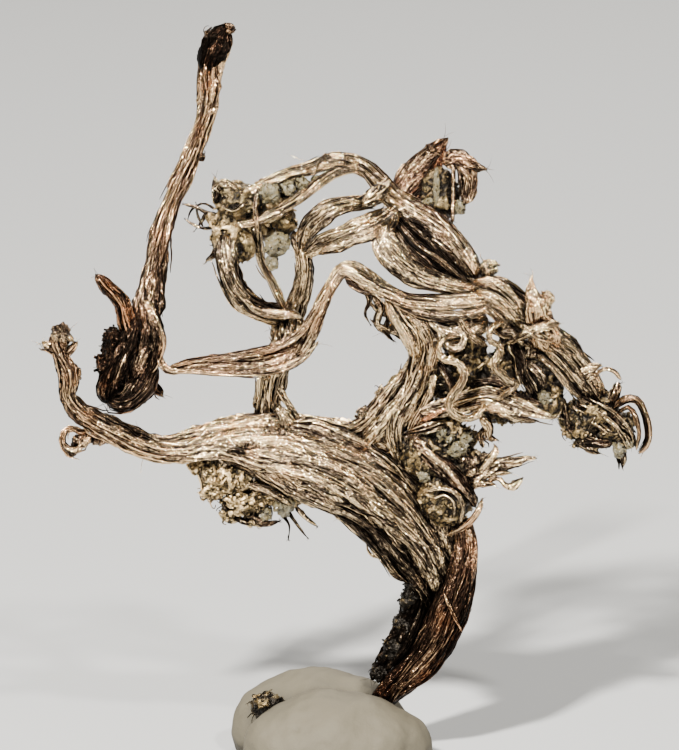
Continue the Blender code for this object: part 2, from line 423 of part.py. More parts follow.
RIGHT_SIDE = [
    ("shoulder_inner", SILVER, [
        Strand([(47.0, 28.9, 0.1, 1.2), (48.4, 29.0, -0.3, 1.7), (50.2, 29.9, -0.6, 2.1),
                (52.0, 31.2, -0.4, 1.9), (53.6, 33.0, 0.2, 1.5)], flat=0.95, ridges=6,
               ring_step=1.5),
        Lump((48.8, 27.2, 0.6), (1.0, 0.9, 1.0), detail=1),
        Lump((54.2, 29.9, 1.1), (1.1, 1.1, 1.2), detail=1),
        Strand([(53.0, 27.7, 0.1, 0.15), (53.3, 29.6, 0.1, 0.8), (53.4, 31.6, 0.1, 1.2)],
               flat=0.9, ridges=4, ring_step=1.3),
    ]),
    ("shoulder_outer", SILVER, [
        Strand([(52.8, 32.4, 0.2, 1.1), (54.2, 33.4, 0.6, 1.4), (56.0, 35.0, 1.1, 1.85),
                (57.8, 37.0, 1.7, 1.9), (59.2, 39.0, 2.3, 1.5), (60.2, 40.8, 2.6, 1.1)],
               flat=0.9, ridges=6, ring_step=1.6),
        Strand([(58.4, 37.8, 1.8, 0.8), (59.4, 37.2, 2.2, 0.6), (60.2, 36.5, 2.4, 0.15)],
               ridges=3, ring_step=1.0),
        Lump((53.8, 34.8, 1.0), (1.3, 1.0, 1.2), detail=1),
    ]),
    ("end_cluster", TAN_CRUST, [
        Strand([(58.0, 40.2, 2.2, 1.0), (59.6, 41.6, 2.4, 1.5), (61.8, 43.0, 2.2, 1.4),
                (63.6, 44.6, 1.8, 0.8)], flat=1.0, ridges=5, ring_step=1.6),
        Lump((57.6, 42.4, 3.2), (1.5, 2.3, 1.5)),
        Lump((59.7, 44.2, 2.5), (1.6, 1.2, 1.3), detail=1),
        Lump((60.8, 40.1, 2.6), (1.4, 1.4, 1.3), detail=1),
        Crystal((62.2, 44.8, 1.4), (0.9, 0.8, 0.8), facing=2),
        Strand([(62.2, 44.6, 1.8, 0.5), (62.4, 45.9, 1.8, 0.35), (62.4, 47.0, 1.8, 0.12)],
               ridges=3, ring_step=1.0),
    ]),
    ("end_hook", SILVER, [
        Strand([(61.4, 40.8, 1.6, 0.6), (63.0, 39.8, 1.0, 0.55), (64.1, 40.2, 0.6, 0.5),
                (64.6, 41.5, 0.3, 0.5), (64.9, 43.0, 0.3, 0.5), (64.7, 44.5, 0.6, 0.5),
                (63.7, 45.3, 1.2, 0.5)], flat=1.6, ridges=3, ring_step=1.2),
        Strand([(59.0, 37.6, 0.4, 0.4), (60.4, 36.8, 0.0, 0.28), (61.5, 37.1, 0.0, 0.28),
                (62.2, 38.0, 0.2, 0.28), (62.6, 39.4, 0.8, 0.35), (63.2, 40.1, 1.0, 0.4)],
               flat=1.3, ridges=3, ring_step=1.1),
    ]),
    ("curl_crust", CRUST, [
        Lump((46.6, 37.6, 0.6), (2.7, 3.4, 1.7)),
        Lump((50.4, 36.4, 0.4), (2.1, 3.0, 1.5)),
        Lump((50.0, 41.2, 0.0), (3.4, 1.8, 1.4)),
        Lump((54.4, 38.2, 1.6), (2.3, 2.3, 1.5)),
        Crystal((48.2, 36.0, -1.2), (0.7, 0.9, 0.7), facing=3),
        Crystal((52.6, 38.6, -0.4), (0.8, 0.7, 0.7), facing=5),
    ]),
    ("basket_crust", CRUST, [
        Lump((43.0, 45.4, -0.8), (3.2, 2.5, 2.0)),
        Lump((44.6, 49.8, -1.0), (2.8, 3.0, 1.9)),
        Crystal((46.4, 44.8, -2.2), (1.0, 1.3, 0.8), facing=1),
        Crystal((42.2, 47.6, -2.4), (1.0, 0.9, 0.8), facing=2),
        Crystal((43.6, 43.4, -2.3), (0.8, 0.8, 0.7), facing=4),
        Strand([(43.0, 45.5, -2.6, 0.3), (45.0, 46.6, -3.0, 0.3), (46.8, 48.0, -2.7, 0.3)],
               ridges=3, ring_step=1.5),
        Strand([(42.5, 49.0, -2.4, 0.3), (44.0, 48.7, -2.9, 0.3), (45.5, 49.2, -3.1, 0.3),
                (46.3, 50.5, -3.0, 0.3), (46.0, 52.4, -2.0, 0.35)], ridges=3, ring_step=1.5),
        Strand([(44.8, 53.4, -1.2, 0.4), (46.5, 53.0, -2.0, 0.35), (48.0, 51.8, -2.2, 0.35),
                (48.4, 50.2, -2.0, 0.35), (47.4, 48.8, -1.2, 0.4)], ridges=3, ring_step=1.4),
    ]),
    ("spur", SILVER, [
        Strand([(45.4, 48.8, -0.8, 1.0), (47.2, 47.8, -1.4, 1.0), (50.0, 46.2, -2.4, 0.75),
                (52.2, 45.8, -3.2, 0.45), (53.7, 45.8, -3.8, 0.12)], flat=0.8, ridges=4,
               ring_step=1.5),
        Strand([(46.8, 48.2, -1.4, 0.8), (48.6, 48.8, -1.9, 0.65), (50.2, 48.8, -2.3, 0.5),
                (52.3, 47.7, -2.8, 0.12)], flat=0.8, ridges=3, ring_step=1.3),
        Lump((49.2, 45.2, -2.0), (1.0, 1.0, 0.9), detail=1),
        Lump((48.8, 43.6, -1.8), (1.1, 1.2, 1.0), detail=1),
    ]),
    ("side_flake", SILVER, [
        Strand([(42.0, 41.2, -1.4, 0.8), (45.2, 40.6, -2.0, 0.9), (48.0, 39.8, -2.6, 1.2),
                (50.0, 40.0, -3.0, 1.2), (52.6, 41.0, -3.6, 0.7), (55.5, 41.8, -4.2, 0.12)],
               flat=0.35, ridges=4, ring_step=1.8),
        Strand([(49.6, 40.8, -3.0, 0.6), (51.6, 41.7, -3.4, 0.4), (53.5, 42.1, -3.8, 0.12)],
               flat=0.45, ridges=3, ring_step=1.3),
    ]),
    ("curl_left", SILVER, [
        Strand([(45.6, 33.6, -2.0, 0.3), (44.4, 33.9, -3.0, 0.25), (43.8, 34.8, -3.4, 0.25),
                (44.3, 35.9, -3.7, 0.25), (45.4, 36.1, -4.0, 0.28), (46.3, 36.9, -4.3, 0.3),
                (46.3, 37.9, -4.5, 0.3), (45.7, 38.9, -4.5, 0.3), (45.0, 39.9, -4.4, 0.3),
                (45.0, 40.9, -4.3, 0.3), (45.8, 41.6, -4.2, 0.3), (46.9, 41.8, -4.1, 0.3),
                (47.8, 41.3, -3.7, 0.3), (48.5, 40.3, -3.0, 0.28)], flat=2.2, ridges=3,
               ring_step=0.9),
    ]),
    ("curl_right", SILVER, [
        Strand([(50.2, 32.2, -2.0, 0.3), (49.0, 32.9, -3.0, 0.25), (48.9, 34.1, -3.4, 0.25),
                (49.9, 34.6, -3.6, 0.25), (49.8, 35.6, -3.9, 0.28), (49.4, 36.6, -4.2, 0.3),
                (50.6, 37.9, -4.2, 0.3), (51.6, 38.4, -4.0, 0.28), (50.6, 39.2, -3.6, 0.28),
                (49.6, 40.0, -3.0, 0.28)], flat=2.0, ridges=3, ring_step=0.9),
    ]),
]


def linear(hex_colour):
    """Linear colour from an sRGB hex value."""
    parts = [int(hex_colour[i:i + 2], 16) / 255 for i in (1, 3, 5)]
    return [c / 12.92 if c <= 0.04045 else ((c + 0.055) / 1.055) ** 2.4 for c in parts] + [1.0]


def material(name, finish):
    """Plain Principled material of one piece."""
    colour, metallic, roughness = finish
    made = bpy.data.materials.new(name)
    made.use_nodes = True
    shader = made.node_tree.nodes["Principled BSDF"]
    shader.inputs["Base Color"].default_value = linear(colour)
    shader.inputs["Metallic"].default_value = metallic
    shader.inputs["Roughness"].default_value = roughness
    made.diffuse_color = linear(colour)
    return made


def add_object(name, bm, collection):
    """Object from a bmesh, with its faces pointing outwards."""
    bmesh.ops.recalc_face_normals(bm, faces=bm.faces)
    if bm.calc_volume(signed=True) < 0:
        bmesh.ops.reverse_faces(bm, faces=bm.faces)
    mesh = bpy.data.meshes.new(name)
    bm.to_mesh(mesh)
    bm.free()
    made = bpy.data.objects.new(name, mesh)
    collection.objects.link(made)
    return made


def add_tool(name, bm, collection):
    """Object that cuts or joins, and isn't part of the model."""
    tool = add_object(name, bm, collection)
    tool.hide_render = True
    tool.display_type = "WIRE"
    return tool


def combine(piece, tools, operation):
    """Join the tools to the piece, or cut them from it, one after another."""
    for tool in tools:
        modifier = piece.modifiers.new(operation, "BOOLEAN")
        modifier.operation = operation
        modifier.solver = "EXACT"
        modifier.object = tool
    evaluated = piece.evaluated_get(bpy.context.evaluated_depsgraph_get())
    mesh = bpy.data.meshes.new_from_object(evaluated)
    piece.modifiers.clear()
    piece.data = mesh


def box_of(made):
    """Lowest and highest corner of an object."""
    places = [vert.co for vert in made.data.vertices]
    low = Vector([min(place[axis] for place in places) for axis in range(3)])
    high = Vector([max(place[axis] for place in places) for axis in range(3)])
    return low, high


def boxes_meet(one, other):
    """Whether two objects' boxes overlap."""
    low_a, high_a = box_of(one)
    low_b, high_b = box_of(other)
    return all(low_a[i] <= high_b[i] and low_b[i] <= high_a[i] for i in range(3))


def loose_parts(bm):
    """The separate closed bodies of a mesh, as lists of faces."""
    left = set(bm.faces)
    parts = []
    while left:
        part = []
        waiting = [left.pop()]
        while waiting:
            face = waiting.pop()
            part.append(face)
            for edge in face.edges:
                for near in edge.link_faces:
                    if near in left:
                        left.remove(near)
                        waiting.append(near)
        parts.append(part)
    return parts


def keep_main_body(piece):
    """Drop the crumbs that a cut left beside the piece's main body, and tidy its faces."""
    bm = bmesh.new()
    bm.from_mesh(piece.data)
    parts = sorted(loose_parts(bm), key=lambda part: sum(face.calc_area() for face in part))
    crumbs = [face for part in parts[:-1] for face in part]
    bmesh.ops.delete(bm, geom=crumbs, context="FACES")
    bmesh.ops.triangulate(bm, faces=bm.faces)
    bm.to_mesh(piece.data)
    bm.free()


def is_closed(mesh):
    """Whether every edge of a mesh has two faces."""
    bm = bmesh.new()
    bm.from_mesh(mesh)
    closed = all(len(edge.link_faces) == 2 for edge in bm.edges)
    bm.free()
    return closed


def lighten(piece):
    """Merge the small faces that the cuts leave where pieces meet, as far as it stays closed."""
    modifier = piece.modifiers.new("lighten", "DECIMATE")
    for ratio in LIGHTEN:
        modifier.ratio = ratio
        evaluated = piece.evaluated_get(bpy.context.evaluated_depsgraph_get())
        mesh = bpy.data.meshes.new_from_object(evaluated)
        if is_closed(mesh):
            piece.data = mesh
            break
    piece.modifiers.clear()


def add_collection(name):
    made = bpy.data.collections.new(name)
    bpy.context.scene.collection.children.link(made)
    return made


def build():
    for old in list(bpy.data.objects):
        bpy.data.objects.remove(old)
    model = add_collection("native_silver_specimen")
    tools = add_collection("cutters")
    grown_so_far = []
    for name, finish, shapes in TRUNK + HOLDER + LEFT_SIDE + MIDDLE + RIGHT_SIDE:
        solids = [shape.mesh(0.0) for shape in shapes]
        grown = [shape.mesh(GAP) for shape in shapes]
        piece = add_object(name, solids[0], model)
        joined = [add_tool(f"{name}_join", solid, tools) for solid in solids[1:]]
        combine(piece, joined, "UNION")
        near = [cutter for cutter in grown_so_far if boxes_meet(piece, cutter)]
        combine(piece, near, "DIFFERENCE")
        keep_main_body(piece)
        lighten(piece)
        piece.data.shade_smooth()
        piece.data.set_sharp_from_angle(angle=math.radians(35.0))
        piece.data.materials.clear()
        piece.data.materials.append(material(name, finish))
        grown_so_far += [add_tool(f"{name}_clear", solid, tools) for solid in grown]
    for made in list(model.objects) + list(tools.objects):
        made.data.transform(Matrix.Scale(MM, 4))


build()
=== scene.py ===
"""Finish of a native silver specimen: striated strands, granular crust and a putty mount.

Native silver grows as bundles of fine parallel wires. Each strand here is a cylinder bent along a
smooth path, with a skin of ridges and grooves that run along it, and fine wires laid over the
skin. The crust is a knobbly skin with grains and small crystals on it. The places of the strands
are read off the same full-size drawing of the front as the solids: millimetres right of its left
edge and down from its top edge, seen from VIEW_TILT above.
"""

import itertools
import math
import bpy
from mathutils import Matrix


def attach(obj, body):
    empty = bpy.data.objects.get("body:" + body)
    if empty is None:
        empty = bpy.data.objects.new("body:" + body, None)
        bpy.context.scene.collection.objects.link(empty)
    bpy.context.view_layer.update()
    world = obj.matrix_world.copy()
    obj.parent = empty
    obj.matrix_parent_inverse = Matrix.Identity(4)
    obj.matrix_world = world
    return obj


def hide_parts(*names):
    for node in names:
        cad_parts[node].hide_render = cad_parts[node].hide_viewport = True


bl_info = {
    "name": "Native Silver Specimen",
    "version": (1, 0, 0),
    "blender": (4, 5, 0),
    "location": "3D Viewport > Sidebar > Silver",
    "description": "Models the striated silver strands, the crust and the putty mount",
    "category": "Add Mesh",
}

from dataclasses import dataclass

import bmesh
import bpy
import numpy as np
from mathutils import Euler, Vector, noise

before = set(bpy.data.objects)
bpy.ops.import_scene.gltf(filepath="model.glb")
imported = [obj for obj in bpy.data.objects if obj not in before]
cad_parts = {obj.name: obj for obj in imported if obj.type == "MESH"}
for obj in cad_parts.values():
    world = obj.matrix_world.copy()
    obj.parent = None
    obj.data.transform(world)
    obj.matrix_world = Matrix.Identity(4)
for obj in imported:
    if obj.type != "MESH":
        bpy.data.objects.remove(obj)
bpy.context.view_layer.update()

MM = 0.001
SHORTEST = 1e-12                     # shortest vector that is divided by its length
VIEW_TILT = math.radians(14.0)       # how far the drawing and the camera look down
BASE_ACROSS = 32.7                   # mm, the middle of the putty's base on the drawing
BASE_DOWN = 76.4
DRAWING = (67.9, 75.0)               # mm, width and height of the drawing
EYE = np.array((0.0, -math.cos(VIEW_TILT), math.sin(VIEW_TILT)))


def seen(across, down, depth):
    """Place in metres of a point of the drawing that lies depth behind its middle plane."""
    height = (BASE_DOWN - down - depth * math.sin(VIEW_TILT)) / math.cos(VIEW_TILT)
    return np.array((across - BASE_ACROSS, depth, height)) * MM


def linear(hex_colour):
    """Linear colour from an sRGB hex value."""
    parts = [int(hex_colour[i:i + 2], 16) / 255 for i in (1, 3, 5)]
    return [c / 12.92 if c <= 0.04045 else ((c + 0.055) / 1.055) ** 2.4 for c in parts]


def colour_property(name, description, hex_colour):
    """Colour that the user can change."""
    return bpy.props.FloatVectorProperty(
        name=name, description=description, subtype="COLOR", size=3, min=0.0, max=1.0,
        default=linear(hex_colour),
    )


def length_property(name, description, millimetres):
    """Length that the user can change."""
    return bpy.props.FloatProperty(
        name=name, description=description, unit="LENGTH", subtype="DISTANCE", precision=5,
        default=millimetres * MM,
    )


class StrandSettings(bpy.types.PropertyGroup):
    """Sizes of the silver strands' surface"""

    groove_spacing: length_property("Groove spacing", "Distance between the main grooves", 0.29)
    groove_depth: length_property("Groove depth", "Depth of the main grooves", 0.11)
    wire_radius: length_property("Wire radius", "Radius of the fine wires on the strands", 0.1)
    fibre_radius: length_property("Fibre radius", "Radius of the loose fibres", 0.028)
    ring_step: length_property("Ring step", "Distance between the rings of a strand", 0.34)
    mesh_step: length_property("Mesh step", "Distance between points around a strand", 0.12)


class CrustSettings(bpy.types.PropertyGroup):
    """Sizes of the crust's surface"""

    voxel: length_property("Mesh size", "Distance between the points of the crust", 0.19)
    knob_height: length_property("Knob height", "Height of the crust's knobs", 0.55)
    grain_size: length_property("Grain size", "Mean half size of the grains", 0.11)
    grains_per_mm2: bpy.props.FloatProperty(
        name="Grains", description="Grains on a square millimetre of crust", default=2.2,
        min=0.0,
    )


class FinishSettings(bpy.types.PropertyGroup):
    """Colours of the silver, the crust and the putty"""

    # groove and crust_dark are also the colours that the painted shade in sheltered corners
    # reaches.
    groove: colour_property("Groove", "Sulfide tarnish deep in the grooves", "#0B0806")
    shade: colour_property("Shade", "Tarnished silver low on the ridges", "#2A211A")
    silver: colour_property("Silver", "Warm tarnished silver", "#847460")
    ridge: colour_property("Ridge", "Silver rubbed bright on the ridges", "#FEDFAB")
    copper_shade: colour_property("Copper shade", "Brown tarnish, low", "#2A1710")
    copper: colour_property("Copper", "Copper-brown tarnish", "#6C4329")
    copper_ridge: colour_property("Copper ridge", "Copper-brown tarnish, rubbed", "#CB946A")
    crust_dark: colour_property("Crust dark", "Sulfide between the grains", "#14110D")
    crust_grey: colour_property("Crust grey", "Grey-green grains", "#5C5339")
    crust_tan: colour_property("Crust tan", "Tan silver grains", "#86714C")
    crystal: colour_property("Crystal", "Grey crystals", "#504D3F")
    putty: colour_property("Putty", "Museum putty", "#4E4A3E")
    floor: colour_property("Floor", "Plain pale floor", "#9EA1A3")


@dataclass
class Strand:
    """Silver strand. points are (across, down, depth, half width) in mm on the drawing.

    flat is the depth over the width, and turn the section's turn in degrees at both ends.
    wires is how full its skin is of fine wires, and fibres how many hang loose at each end.
    rough is how flaky the skin is, and copper is tarnish on top of the piece's own. dark is
    darkening on top of the piece's own, partly tarnish and partly painted shade.
    """

    points: list
    flat: float = 0.9
    turn: tuple = (0.0, 0.0)
    wires: float = 1.0
    fibres: int = 3
    rough: float = 0.5
    dark: float = 0.0
    copper: float = 0.0


@dataclass
class Crystal:
    """Block-shaped crystal. half is its half sizes across, down and deep, in mm."""

    centre: tuple
    half: tuple
    facing: int = 0


@dataclass
class Lump:
    """Knobbly lump. half is its half sizes across, down and deep, in mm."""

    centre: tuple
    half: tuple


@dataclass
class Look:
    """Darkening and copper tarnish at the first and the last point of a piece's strands, below 0
    where it is rubbed. The darkening is partly tarnish and partly painted shade.

    grains is how full its crust is of loose grains, and knob how large the crust's knobs are.
    """

    dark: tuple
    copper: tuple
    grains: float = 1.0
    knob: float = 1.0


SILVER = "tarnished_silver"
COPPER_BROWN = "copper_brown_silver"
CRUST = "crust"
TAN_CRUST = "tan_crust"
PUTTY = "putty"

# Places of the materials on a piece
METAL = 0
FACES = 1
GRANULES = 2

# Random numbers. The large odd factors mix the cells of a lattice.
CELL_FACTORS = (73856093, 19349663, 83492791)
SEED_FACTOR = 374761393
STIR_FACTORS = (668265263, 1274126177)
PIECE_SEEDS = 10                     # seeds from one piece to the next

# Skin of a strand. Patterns are sized across, into and along the strand.
SPAN_STEPS = 16                      # steps of a path between two of its points
SIDES = (14, 128)                    # fewest and most points around
RINGS = (8, 160)
STRAND_SEEDS = 7                     # seeds from one strand to the next
GROOVES = np.array((1.0, 1.0, 24.0))         # in groove spacings
FINE_GROOVES = np.array((0.5, 0.5, 12.0))
LIMBS = np.array((3.2, 3.2, 40.0))           # the widest ridges
RIDGE_GAIN = 2.3                     # how narrow the grooves are
RIDGE_ROUNDNESS = 0.7
RIDGE_MIDDLE = 0.6                   # height of a ridge at which the skin keeps its width
LIMB_MIDDLE = 0.7
FINE_DEPTH = 0.4                     # share of the main grooves' depth
LIMB_DEPTH = 0.16                    # share of the half width
SWELL_SIZE = np.array((0.9, 0.9, 2.4)) * MM
SWELL = 0.16                         # unevenness of a strand, as a share of its half width
SMOOTH_SWELL = 0.6                   # share of the swell on the smoothest strands
ROUGH_SWELL = 0.8                    # what roughness adds to that
FLAKE_SIZE = np.array((0.6, 0.6, 1.7)) * MM
FLAKE_DEPTH = 0.3 * MM
SMALL_FLAKE = 0.45                   # size of the small flakes, as a share of the large ones'
SMALL_FLAKE_DEPTH = 0.5
THIN_FLAKES = 0.3                    # share of the flakes' depth on the thinnest strands
GROOVE_SWAY = 0.22                   # radians that the grooves wander round a strand
GROOVE_SWAY_LENGTH = 2.2 * MM
END_LENGTH = 1.9                     # length of a strand's rounded end, in half widths
END_WIDTH = 0.15                     # width at the end, as a share
END_JAG = 0.5                        # unevenness of the end's length
JAG_SIZE = np.array((0.4, 0.4, 9.0)) * MM

# How far each pattern shows in the tarnish, from dark to bright
GROOVE_LEVEL = 0.5
FINE_LEVEL = 0.25
LIMB_LEVEL = 0.35
FLAKE_LEVEL = 0.35
LEVEL_SINK = 0.08                    # how much darker all of it is
CALMEST = 0.45                       # unevenness of the tarnish on the smoothest strands
CALM_LEVEL = 0.72                    # level that the tarnish of smooth strands keeps near

# Wires that lie on a strand
WIRES_PER_MM2 = 0.36
WIRE_LENGTH = (2.5, 13.0)            # mm
WIRE_STEP = 0.6 * MM
WIRE_RINGS = (8, 20)
WIRE_SIDES = 6
WIRE_DRIFT = 0.22                    # radians
WIRE_SWAY = 0.12
WIRE_SWAY_TURN = (3, 9)              # radians that the sway swings through
WIRE_THICKNESS = (0.55, 1.35)        # share of the wires' radius
WIRE_MOST = 0.5                      # thickest wire, as a share of the strand's half width
WIRE_TIP = 0.3                       # share of its radius at an end
WIRE_TAPER = 0.4                     # how blunt the ends are
WIRE_LIFT = 0.45                     # height over the skin, in radii
WIRE_SINK = 1.5                      # depth of an end, in radii
WIRE_BRIGHTNESS = (0.15, 1.0)
LOOSE_WIRES = 0.22                   # share of the wires with an end that lifts off
LOOSE_REACH = (1.5, 6.0)             # height of that end, in radii

# Fibres at a strand's ends, and the curled threads that stand on a crust
THREAD_SIDES = 5
THREAD_POINTS = 9
THREAD_SHIFT = 9                     # mm that the pattern on a thread may be shifted
THREAD_STEP = 0.3                    # mm of pattern on each ring of a thread
FIBRE_INSET = 0.04                   # how far from the strand's end, as a share of its length
FIBRE_LEAN = (0.1, 0.7)
FIBRE_STRAY = 0.3
FIBRE_BEND = 0.5
FIBRE_REACH = (0.5, 1.0)
FIBRE_LENGTH = 1.6                   # longest, in half widths of the strand and in mm
FIBRE_THICKNESS = (0.7, 1.6)
FIBRE_TAPER = 0.7
FIBRE_LEVEL = 0.8
CURL_THICKNESS = (1.0, 3.2)
CURL_REACH = (0.3, 1.1)              # mm
CURL_LEAN = 0.7
CURL_STRAY = 0.6
CURL_TURN = (1.0, 4.0)               # radians
CURL_TAPER = 0.5
CURL_LEVEL = (0.3, 1.0)

# Lumps, crust and crystals
LUMP_DETAIL = 5
LUMP_ROUGHNESS = 0.3
LUMP_GRAINS = 0.3                    # share of the crust's grains
KNOB_SEEDS = 3
KNOB_SIZE = 0.9 * MM
BIG_KNOB = 1.7                       # in knob sizes
SMALL_KNOB = 0.42
KNOB_RISE = (0.9, 1.2, 0.5)          # of the big, middle and small knobs
KNOB_LEVEL = (0.2, 0.4, 0.3)
CRUST_DETAIL = 4
GRAIN_AREA = 0.6                     # a skin's area, as a share of the box round it
GRAIN_CUBES = 0.7                    # share of the grains that are worn cubes
GRAIN_WEAR = 0.16
GRAIN_SIZES = (0.5, 1.6)
GRAIN_DEPTHS = (0.4, 1.0)
GRAIN_LENGTHS = (0.6, 2.4)
GRAIN_LIFT = (0.1, 0.7)
GRAIN_LEVEL = (0.2, 0.9)
THREADS_PER_GRAIN = 0.3
FACET_TILT = 1.6
CRYSTAL_DETAIL = 4
CRYSTAL_BOXINESS = 0.25              # 0 is a ball and 1 a box
CRYSTAL_FACE = 0.7                   # size of its facets, in half sizes
CRYSTAL_RELIEF = 0.4
CRYSTAL_LEVEL = 0.7
CRYSTAL_TURN = (0.7, 0.5, 0.7)       # radians

# Putty. Lengths are in mm.
LOBE_DETAIL = 6
PINCH = 0.5                          # height of the finger dents
PINCH_LENGTH = 4.0
DIMPLE = 0.12
DIMPLE_LENGTH = 1.1
CREASE_ANGLE = math.radians(50.0)

# Patterns of the finishes. Those along a strand are in waves on a millimetre across, into and
# along it, and the finest are drawn as coarse as the render needs to show them. CORNERS tells how
# open the surface is, from 0 in a deep corner to 1; the finishes paint shade into their colour
# with it, darker in corners and crevices.
NOISE = "ShaderNodeTexNoise"
RAMP = "ShaderNodeValToRGB"
MATH = "ShaderNodeMath"
CORNERS = "ShaderNodeAmbientOcclusion"
STREAKS = (8.5, 8.5, 0.25)           # 0.12 mm wide and 4 mm long
CRACKS = (3.2, 3.2, 0.08)            # 0.3 mm wide and 12 mm long
CRACK_WIDTH = 1 / 30                 # how near the noise's middle value a crack is
GRIT = (8.0, 8.0, 3.5)               # 0.12 mm wide and 0.3 mm long
# Hackles also paint small glints into the silver's colour.
HACKLES = (6.0, 6.0, 2.2)            # 0.17 mm wide and 0.45 mm long
PATCH = 2.6 * MM                     # patches of brown tarnish
GRAIN_CLOUD = 0.35 * MM
TAN_PATCH = 1.8 * MM                 # patches of tan crust
CRYSTAL_CLOUD = 0.45 * MM
PUTTY_CLOUD = 5 * MM
PUTTY_PORES = 0.5 * MM
SILVER_RELIEF = 0.12 * MM
CRUST_RELIEF = 0.25 * MM
PUTTY_RELIEF = 0.15 * MM
SILVER_OPENNESS = 0.9 * MM           # how far off a wall still shades the surface
CRUST_OPENNESS = 1.2 * MM
CRYSTAL_OPENNESS = 1.0 * MM
PUTTY_OPENNESS = 2.0 * MM
CORNER_SAMPLES = 4
TARNISH_STOPS = (0.0, 0.34, 0.72, 1.0)
TARNISH_CONTRAST = 1.22
TARNISH_SINK = -0.12
TARNISH_ROUGHNESS = 0.42
RIDGE_ROUGHNESS = 0.13
ROUGHNESS_LEVELS = (0.2, 0.9)        # levels of the tarnish and of the rubbed ridges
COPPER_LEAST = 0.55                  # least brown tarnish on the copper-brown strands
CRUST_STOPS = (0.12, 0.6, 1.0)
TAN_IN_GREY = 0.8                    # share of tan grains in the grey crust
TAN_IN_TAN = 0.9
PALE_CRYSTAL = 1.5                   # times the crystal's colour
DARK_PUTTY = 0.72                    # times the putty's colour
# Share of the putty's colour painted as shade in its creases and corners.
PUTTY_CREASE_SHADE = 0.3

# Stage
FLOOR_HALF = 4.0                     # metres
CAMERA_AIM = (DRAWING[0] / 2, DRAWING[1] / 2, 0.0)
CAMERA_REACH = 0.7                   # metres
CLIP_START = 0.01
SENSOR = 36.0                        # mm
WORLD_STRENGTH = 0.1
LIGHT_COLOUR = (1.0, 0.94, 0.86)
LIGHTS = [
    # name, place from the middle of the specimen in metres, size in metres, watts
    ("key", (-0.26, -0.50, 0.46), 0.05, 29.0),
    ("second key", (0.30, -0.46, 0.56), 0.05, 7.5),
    ("fill", (0.55, -0.40, 0.05), 0.12, 1.5),
    ("back", (0.10, 0.45, 0.45), 0.20, 4.0),
]

CRUMBS = [
    ("putty_crumb", CRUST, Look((0.6, 0.6), (0.0, 0.0)), [
        Lump((26.8, 71.0, -0.6), (1.7, 1.3, 1.2)),
    ]),
]
LOBES = [
    # middle and half sizes right, back and up, in mm
    ((-0.7, 3.6, 2.0), (9.0, 5.6, 6.2)),
    ((0.9, -3.4, 2.0), (9.6, 6.2, 6.0)),
]
PITS = [
    # across, down and depth on the drawing, radius and depth in mm
    (26.4, 73.7, -9.0, 0.45, 0.5),
    (28.5, 74.5, -9.2, 0.35, 0.4),
    (29.4, 72.8, -8.0, 0.4, 0.35),
]

